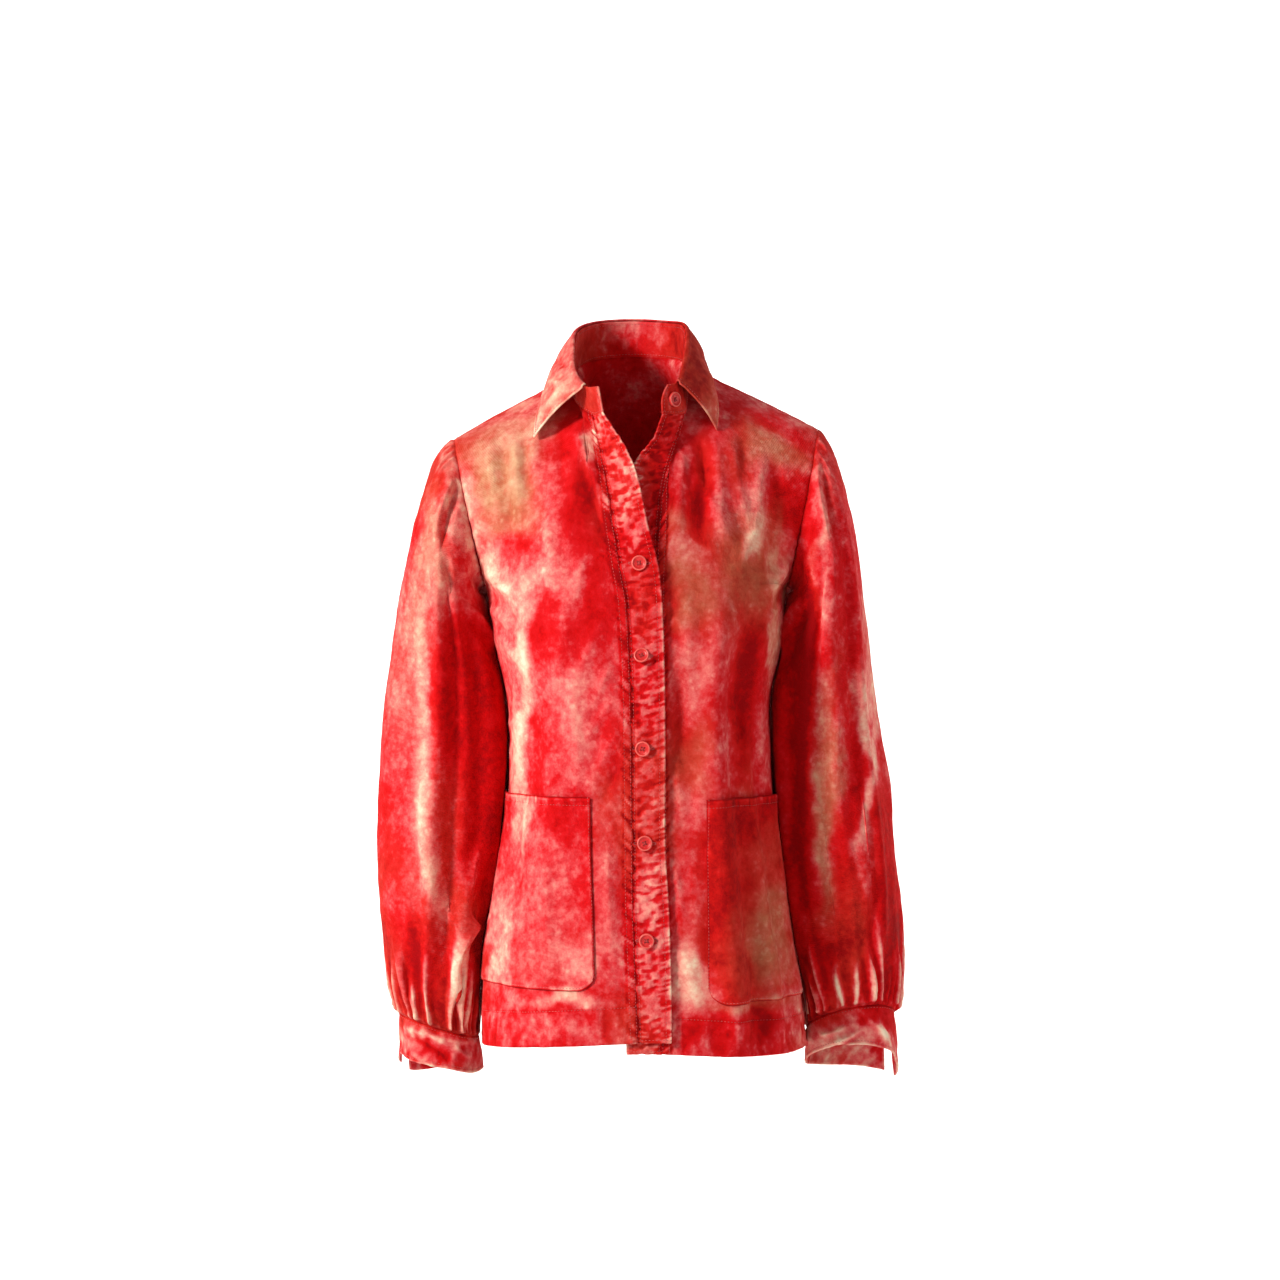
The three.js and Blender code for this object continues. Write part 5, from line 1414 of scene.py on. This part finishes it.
# The cuffs: shallow bands of doubled cloth, left unbuttoned, that the gathers are sewn into.
# Each is open at a slit on the outer side towards the back, and stitched round its edges.
CUFF_CLOTH = 1.8
CUFF_STITCH = 2
SLIT_TURN = 26 * 360 / 28
CUFF_TURNS = spans(*(
    (SLIT_TURN + start, SLIT_TURN + end, count)
    for start, end, count in ((0, 4, 3), (4, 343.14, 150), (343.14, 347.14, 3))
))
CUFF_HEIGHTS = spans((0, 0.9, 22), (0.9, 1, 5))
CUFF_CREASES = {
    "right": crease_lines([
        [-230, -652, -168, -680, -5, 3.0, 2.4], [-214, -650, -156, -668, 4, 2.6, 2.0],
        [-230, -660, -172, -690, -4, -3.2, 2.2], [-222, -672, -190, -690, 3, 2.6, 2.0],
        [-206, -650, -186, -662, 0, -2.2, 1.6], [-180, -664, -160, -684, 2, 2.2, 2.0],
    ]),
    "left": crease_lines([
        [182, -668, 226, -646, 4, 3.0, 2.4], [222, -640, 248, -680, -4, 3.2, 2.4],
        [190, -678, 226, -654, -3, -3.0, 2.2], [232, -640, 252, -666, 3, 2.6, 2.2],
        [176, -660, 206, -648, 2, 2.4, 1.8], [214, -676, 240, -690, 2, 2.4, 2.0],
    ]),
}
CUFF_WASHES = {
    "right": blotches([[-190, -672, 46, 16, 0, 0.42, 0], [-226, -660, 12, 12, 0, 0.7, 0.1]]),
    "left": blotches([[200, -668, 44, 16, 0, 0.66, 0], [246, -676, 10, 22, 0, 0.42, 0]]),
}
RIGHT.cuff_edge_at = curve("turn out y drop", [
    [0, 235, 20, 682], [60, 217, -16, 685], [110, 184, -25, 690], [150, 160, -8, 697],
    [180, 150, 13, 695], [230, 163, 44, 699], [280, 200, 56, 702], [320, 226, 47, 703],
    [335, 236, 40, 694], [360, 235, 20, 682],
])
LEFT.cuff_edge_at = curve("turn out y drop", [
    [0, 258, 16, 694], [40, 250, -10, 677], [80, 226, -25, 667], [120, 195, -23, 668],
    [150, 172, -6, 678], [180, 165, 13, 690], [230, 180, 44, 697], [280, 218, 57, 700],
    [320, 246, 48, 703], [335, 257, 36, 707], [360, 258, 16, 694],
])

cuffs = {}
for side in (RIGHT, LEFT):
    label = side.label
    seed = 600 + side.seed
    turns, heights = np.broadcast_arrays(CUFF_TURNS[None, :], CUFF_HEIGHTS[:, None])
    top = sleeve_ring(side, 11 + 0 * turns, turns)
    edge = side.cuff_edge_at(turns % 360)
    free = point(side.sign * edge.out, edge.y, -edge.drop)
    panel = Panel(mix(top, free, heights[..., None]), flip=side.sign < 0)
    ruck = panel.rucks((6, 13), (3.6, 8), 0.6, seed)
    waves = 0.9 * panel.lumps(22, 16, seed + 2)
    open_edge = np.minimum(panel.to_hem, np.minimum(panel.across, panel.to_end))
    creased = 0.5 * creases(panel.points, CUFF_CREASES[label]) * panel.facing(-0.4, 0)
    panel.lift(
        smooth(panel.down, 0, 3) * (0.5 * ruck + waves) + creased
        - 0.3 * near(open_edge - EDGE_STITCH, 0.9) - 0.5 * near(panel.down, 1.4)
    )
    # Painted light and shade on the rucks and creases, painted shade along the gathered seam, and
    # the open edges paler where they wear.
    panel.shade += (
        0.16 * ruck + 0.09 * creased + 0.2 * near(open_edge, 1.3) - 0.24 * near(panel.down, 1.4)
    )
    cuffs[label] = panel
    own = CUFF_WASHES[label]
    piece = cloth_piece(f"cuff_{label}_cloth", panel, f"cuff_{label}", CUFF_CLOTH, own)
    stitches = sew(f"cuff_{label}_stitches", [
        line_across(panel, EDGE_STITCH, from_end=True), line_across(panel, CUFF_STITCH),
        line_down(panel, EDGE_STITCH), line_down(panel, EDGE_STITCH, from_end=True),
    ])


# The pockets: a patch of the same cloth on each front, in from the side seam, one corner round.
# The top is turned over once and stitched across, and the edges are stitched down on the front.
POCKETS = {
    "right": SimpleNamespace(top=422, bottom=603, inner_top=-44, inner_bottom=-39),
    "left": SimpleNamespace(top=424, bottom=616, inner_top=64, inner_bottom=68),
}
POCKET_WASHES = {
    "right": blotches([
        [-112, -440, 10, 30, 0, 0.82, 0.1], [-62, -446, 22, 34, 0, 0.26, 0],
        [-96, -470, 16, 30, 0, 0.56, 0], [-90, -540, 40, 50, 0, 0.54, 0],
        [-54, -500, 10, 40, 0, 0.42, 0], [-132, -560, 12, 40, 0, 0.82, 0],
        [-56, -580, 16, 16, 0, 0.72, 0],
    ]),
    "left": blotches([
        [96, -440, 30, 30, 0, 0.12, 0], [86, -490, 24, 60, 0, 0.14, 0.1],
        [132, -480, 14, 30, 0, 0.3, 0.3], [126, -556, 26, 36, 0, 0.5, 0.85],
        [90, -580, 14, 24, 0, 0.2, 0.3],
    ]),
}
POCKET_CORNER = 16
POCKET_TURN = 7.5
POCKET_STITCH = 2.2
POCKET_PROUD = 2.3
POCKET_REACH = 0.985
FRONT_WIDTH = 200
POCKET_COLUMNS = spans((0, 0.02, 2), (0.02, 0.98, 48), (0.98, 1, 2))
POCKET_ROWS = spans((0, 0.02, 3), (0.02, 0.985, 92), (0.985, 1, 3))


def spot(value, lines):
    """The number, parts and all, of the line of a grid that a value falls on."""
    return np.interp(value, lines, np.arange(len(lines)))


def down_at(side, across, drop):
    """The row of a front that passes a drop, the other way round from drop_at."""
    hem = side.hem_at(across).drop
    return np.where(
        drop < UNDERARM_DROP,
        (drop - NECK_DROP) / (UNDERARM_DROP - NECK_DROP),
        1 + (drop - UNDERARM_DROP) / (hem - UNDERARM_DROP),
    )


def across_at(side, x, drop):
    """The share of a front's width at which it passes an X."""
    oval = row_oval(side_point(side, drop), -front_at(drop).front, 1)
    seam_turn = oval.turn_at(side.band_at(drop).seam)
    return (oval.turn_at(x) - seam_turn) / (oval.end_turn - seam_turn)


for side in (RIGHT, LEFT):
    label = side.label
    pocket, front = POCKETS[label], fronts[label]
    seed = 700 + side.seed
    shares, downs = np.meshgrid(POCKET_COLUMNS, POCKET_ROWS)
    level = mix(pocket.top, pocket.bottom, downs)
    inner = across_at(side, mix(pocket.inner_top, pocket.inner_bottom, downs), level)
    across = mix(inner, POCKET_REACH, shares)
    inset = np.clip(POCKET_CORNER - (across - inner) * FRONT_WIDTH, 0, POCKET_CORNER)
    cut = POCKET_CORNER - np.sqrt(POCKET_CORNER ** 2 - inset ** 2)
    row = spot(down_at(side, across, level - cut * downs), FRONT_ROWS)
    place, normal = front.place(row, spot(across, FRONT_COLUMNS))
    panel = Panel(place + normal * POCKET_PROUD, flip=side.sign > 0)
    edge = np.minimum(panel.to_hem, np.minimum(panel.across, panel.to_end))
    gape = (1 - smooth(panel.down, 0, 26)) * smooth(panel.across, 0, 24)
    gape = gape * smooth(panel.to_end, 0, 10)
    flick = (1 - smooth(panel.down, 0, 12)) * (1 - smooth(panel.to_end, 0, 12))
    ruck = panel.rucks((7, 5), (3.6, 3), 0.5, seed)
    ladder = panel.lumps(2.4, 14, seed + 3) * (1 - smooth(panel.down, POCKET_TURN, POCKET_TURN + 3))
    rim = np.minimum(edge, panel.down)
    panel.lift(
        1.6 * gape + 1.6 * flick + 0.28 * ruck * near(rim, 7) + 0.5 * ladder
        - 0.5 * near(edge, 1.2) - 0.25 * near(panel.down - POCKET_TURN, 1.1)
        + 0.5 * panel.lumps(30, 40, seed + 2) * smooth(edge, 2, 12)
    )
    # Painted light and shade on the rucks and on the ladder under the turned top, a painted shadow
    # along the rim, and a worn paler line just inside it.
    panel.shade += (
        0.14 * ruck * near(edge, 7) + 0.2 * ladder
        - 0.45 * near(rim, 0.8) + 0.12 * near(rim - 2, 0.9)
    )
    own = POCKET_WASHES[label]
    piece = cloth_piece(f"pocket_{label}_cloth", panel, f"pocket_{label}", own=own)
    stitches = sew(f"pocket_{label}_stitches", [
        line_across(panel, POCKET_TURN), line_down(panel, POCKET_STITCH),
        line_across(panel, POCKET_STITCH, from_end=True),
        line_down(panel, POCKET_STITCH, from_end=True),
    ])


# The buttons: round moulded buttons with four holes, a raised rim and a gloss, sewn on with thread.
# Each front button passes through a horizontal buttonhole edged with close stitches.
BUTTON_RADIUS = 7.25
BUTTON_HEIGHT = 2.8
HOLE_RADIUS = 0.85
HOLE_REACH = 1.75
BUTTON_SIDES = 56
BUTTON_SEAT = 0.55


def red_plastic():
    material, tree, shader, place = new_finish(
        "red_plastic", Roughness=0.36, Coat_Weight=0.12, Coat_Roughness=0.2,
        Specular_IOR_Level=0.3, Subsurface_Weight=0.08, Subsurface_Radius=(0.002, 0.0004, 0.0003),
    )
    swirl = ramp(
        tree, lumps(tree, place, 160, 3), (0.3, (0.52, 0.008, 0.01)), (0.72, (0.68, 0.03, 0.03)),
    )
    # The top of the rim is mixed towards a pale red as a painted highlight.
    rim_highlight = add_node(tree, "ShaderNodeAttribute", attribute_name="rim_highlight").outputs["Fac"]
    rim = add_node(tree, "ShaderNodeMix", data_type="RGBA")
    fill(tree, rim, {"Factor": rim_highlight, "A": swirl, "B": (0.82, 0.17, 0.14, 1)})
    scuff = lumps(tree, place, 1400)
    bump = add_node(tree, "ShaderNodeBump", {"Height": scuff, "Distance": 0.00006})
    fill(tree, shader, {"Base Color": rim.outputs["Result"], "Normal": bump.outputs["Normal"]})
    return material


PLASTIC = red_plastic()


def button_mesh():
    """A turned button with its four holes cut through, in metres, its axis along Z."""
    outline = [
        (0, 0), (0.8, 0), (0.93, 0.07), (1, 0.28), (1, 0.66), (0.98, 0.84), (0.93, 0.96), (0.87, 1),
        (0.8, 0.98), (0.74, 0.88), (0.69, 0.74), (0.63, 0.64), (0.5, 0.6), (0, 0.58),
    ]
    ring = np.linspace(0, 2 * math.pi, BUTTON_SIDES, endpoint=False)
    points = [(0, 0, 0)]
    for share, level in outline[1:-1]:
        radius, height = share * BUTTON_RADIUS, level * BUTTON_HEIGHT / 1000
        points += [(radius * math.cos(t) / 1000, radius * math.sin(t) / 1000, height) for t in ring]
    points.append((0, 0, outline[-1][1] * BUTTON_HEIGHT / 1000))
    rings = len(outline) - 2
    faces = []
    for s in range(BUTTON_SIDES):
        n = (s + 1) % BUTTON_SIDES
        faces.append((0, 1 + n, 1 + s))
        for r in range(rings - 1):
            a = 1 + r * BUTTON_SIDES
            faces.append((a + s, a + n, a + BUTTON_SIDES + n, a + BUTTON_SIDES + s))
        last = 1 + (rings - 1) * BUTTON_SIDES
        faces.append((last + s, last + n, len(points) - 1))
    mesh = bpy.data.meshes.new("button")
    mesh.from_pydata(points, [], faces)
    blank = bpy.data.objects.new("button_blank", mesh)
    bpy.context.scene.collection.objects.link(blank)
    drills = []
    for k in range(4):
        turn = math.radians(45 + 90 * k)
        place = (HOLE_REACH * math.cos(turn) / 1000, HOLE_REACH * math.sin(turn) / 1000, 0)
        bpy.ops.mesh.primitive_cylinder_add(
            vertices=16, radius=HOLE_RADIUS / 1000, depth=0.01, location=place,
        )
        drills.append(bpy.context.object)
    for drill in drills:
        cut = blank.modifiers.new("hole", "BOOLEAN")
        cut.operation = "DIFFERENCE"
        cut.solver = "EXACT"
        cut.object = drill
    evaluated = blank.evaluated_get(bpy.context.evaluated_depsgraph_get())
    drilled = bpy.data.meshes.new_from_object(evaluated)
    for item in [blank, *drills]:
        bpy.data.objects.remove(item)
    # The raised rim is painted paler as a painted highlight, and the groove inside it keeps its
    # red.
    rim_highlight = drilled.attributes.new("rim_highlight", "FLOAT", "POINT")
    for vertex, value in zip(drilled.vertices, rim_highlight.data):
        reach = math.hypot(vertex.co.x, vertex.co.y) * 1000 / BUTTON_RADIUS
        on_top = vertex.co.z * 1000 > 0.7 * BUTTON_HEIGHT
        value.value = max(0.0, 1 - abs(reach - 0.9) / 0.11) * on_top
    drilled.materials.clear()
    drilled.materials.append(PLASTIC)
    drilled.shade_smooth()
    drilled.set_sharp_from_angle(angle=math.radians(40))
    return drilled


BUTTON = button_mesh()


def seat(place, normal, spin):
    """The matrix that puts a button on the cloth, facing out."""
    out = Vector(normal).normalized()
    turn = out.to_track_quat("Z", "Y") @ Matrix.Rotation(math.radians(spin), 3, "Z").to_quaternion()
    return Matrix.Translation(Vector(place) / 1000) @ turn.to_matrix().to_4x4()


def add_button(name, node, place, normal, spin):
    mesh = BUTTON.copy()
    matrix = seat(place + unit(normal) * BUTTON_SEAT, unit(normal), spin)
    mesh.transform(matrix)
    add_piece(name, mesh, node)
    # Two bars of thread cross from hole to hole, and go down into the holes at their ends.
    bars = []
    top = 0.62 * BUTTON_HEIGHT
    for first, last in ((45, 225), (135, 315)):
        line = []
        for share in np.linspace(0, 1, 9):
            turn = math.radians(first if share < 0.5 else last)
            reach = abs(1 - 2 * share) * HOLE_REACH * 1.05
            sink = 1.1 * abs(1 - 2 * share) ** 6
            local = Vector((
                reach * math.cos(turn), reach * math.sin(turn), top + 0.35 - sink,
            )) / 1000
            line.append(np.array(matrix @ local) * 1000)
        bars.append(np.array(line))
    sew(name + "_thread", bars, stitch=1.5, gap=-0.9, radius=0.36)


FRONT_BUTTONS = table("drop x spin", [
    [202.6, 2.3, 8], [289.3, 4.7, 30], [376, 6, -12], [464.7, 7.5, 22], [555, 9.3, 4],
])
HOLE = SimpleNamespace(half_length=10.2, half_height=1.1, corners=0.5)
BAND_ROW_PITCH = 1.2
holes = []
right_band = bands["right"]
for number, row in enumerate(FRONT_BUTTONS, 1):
    band = RIGHT.band_at(row.drop)
    r = spot(down_at(RIGHT, 0, row.drop), BAND_ROWS)
    across = lambda x: spot((x - band.seam) / (band.edge - band.seam), BAND_COLUMNS)
    place, normal = right_band.place(r, across(row.x))
    add_button(f"button_{number}_turned", f"button_{number}", place, normal, row.spin)
    # The buttonhole is a narrow loop of close stitches that shows on both sides of its button.
    turns = np.linspace(0, 2 * math.pi, 41)
    xs = row.x + HOLE.half_length * signed_power(np.cos(turns), HOLE.corners)
    rs = r + HOLE.half_height * signed_power(np.sin(turns), HOLE.corners) / BAND_ROW_PITCH
    loop, outs = right_band.place(rs, across(xs))
    holes.append(loop + outs * 0.15)
sew("buttonhole_stitches", holes, stitch=0.75, gap=-0.1, radius=0.5)

# The button of the stand sits near its left end, and each cuff's sits on the flap behind its slit.
place, normal = stand.place(spot(-0.5, -STAND_HEIGHTS), spot(0.955, STAND_SHARES))
add_button("button_stand_turned", "button_stand", place, normal, 15)
for label, cuff in cuffs.items():
    place, normal = cuff.place(spot(0.5, CUFF_HEIGHTS), spot(300 + 360, CUFF_TURNS))
    add_button(f"button_cuff_{label}_turned", f"button_cuff_{label}", place, normal, 20)
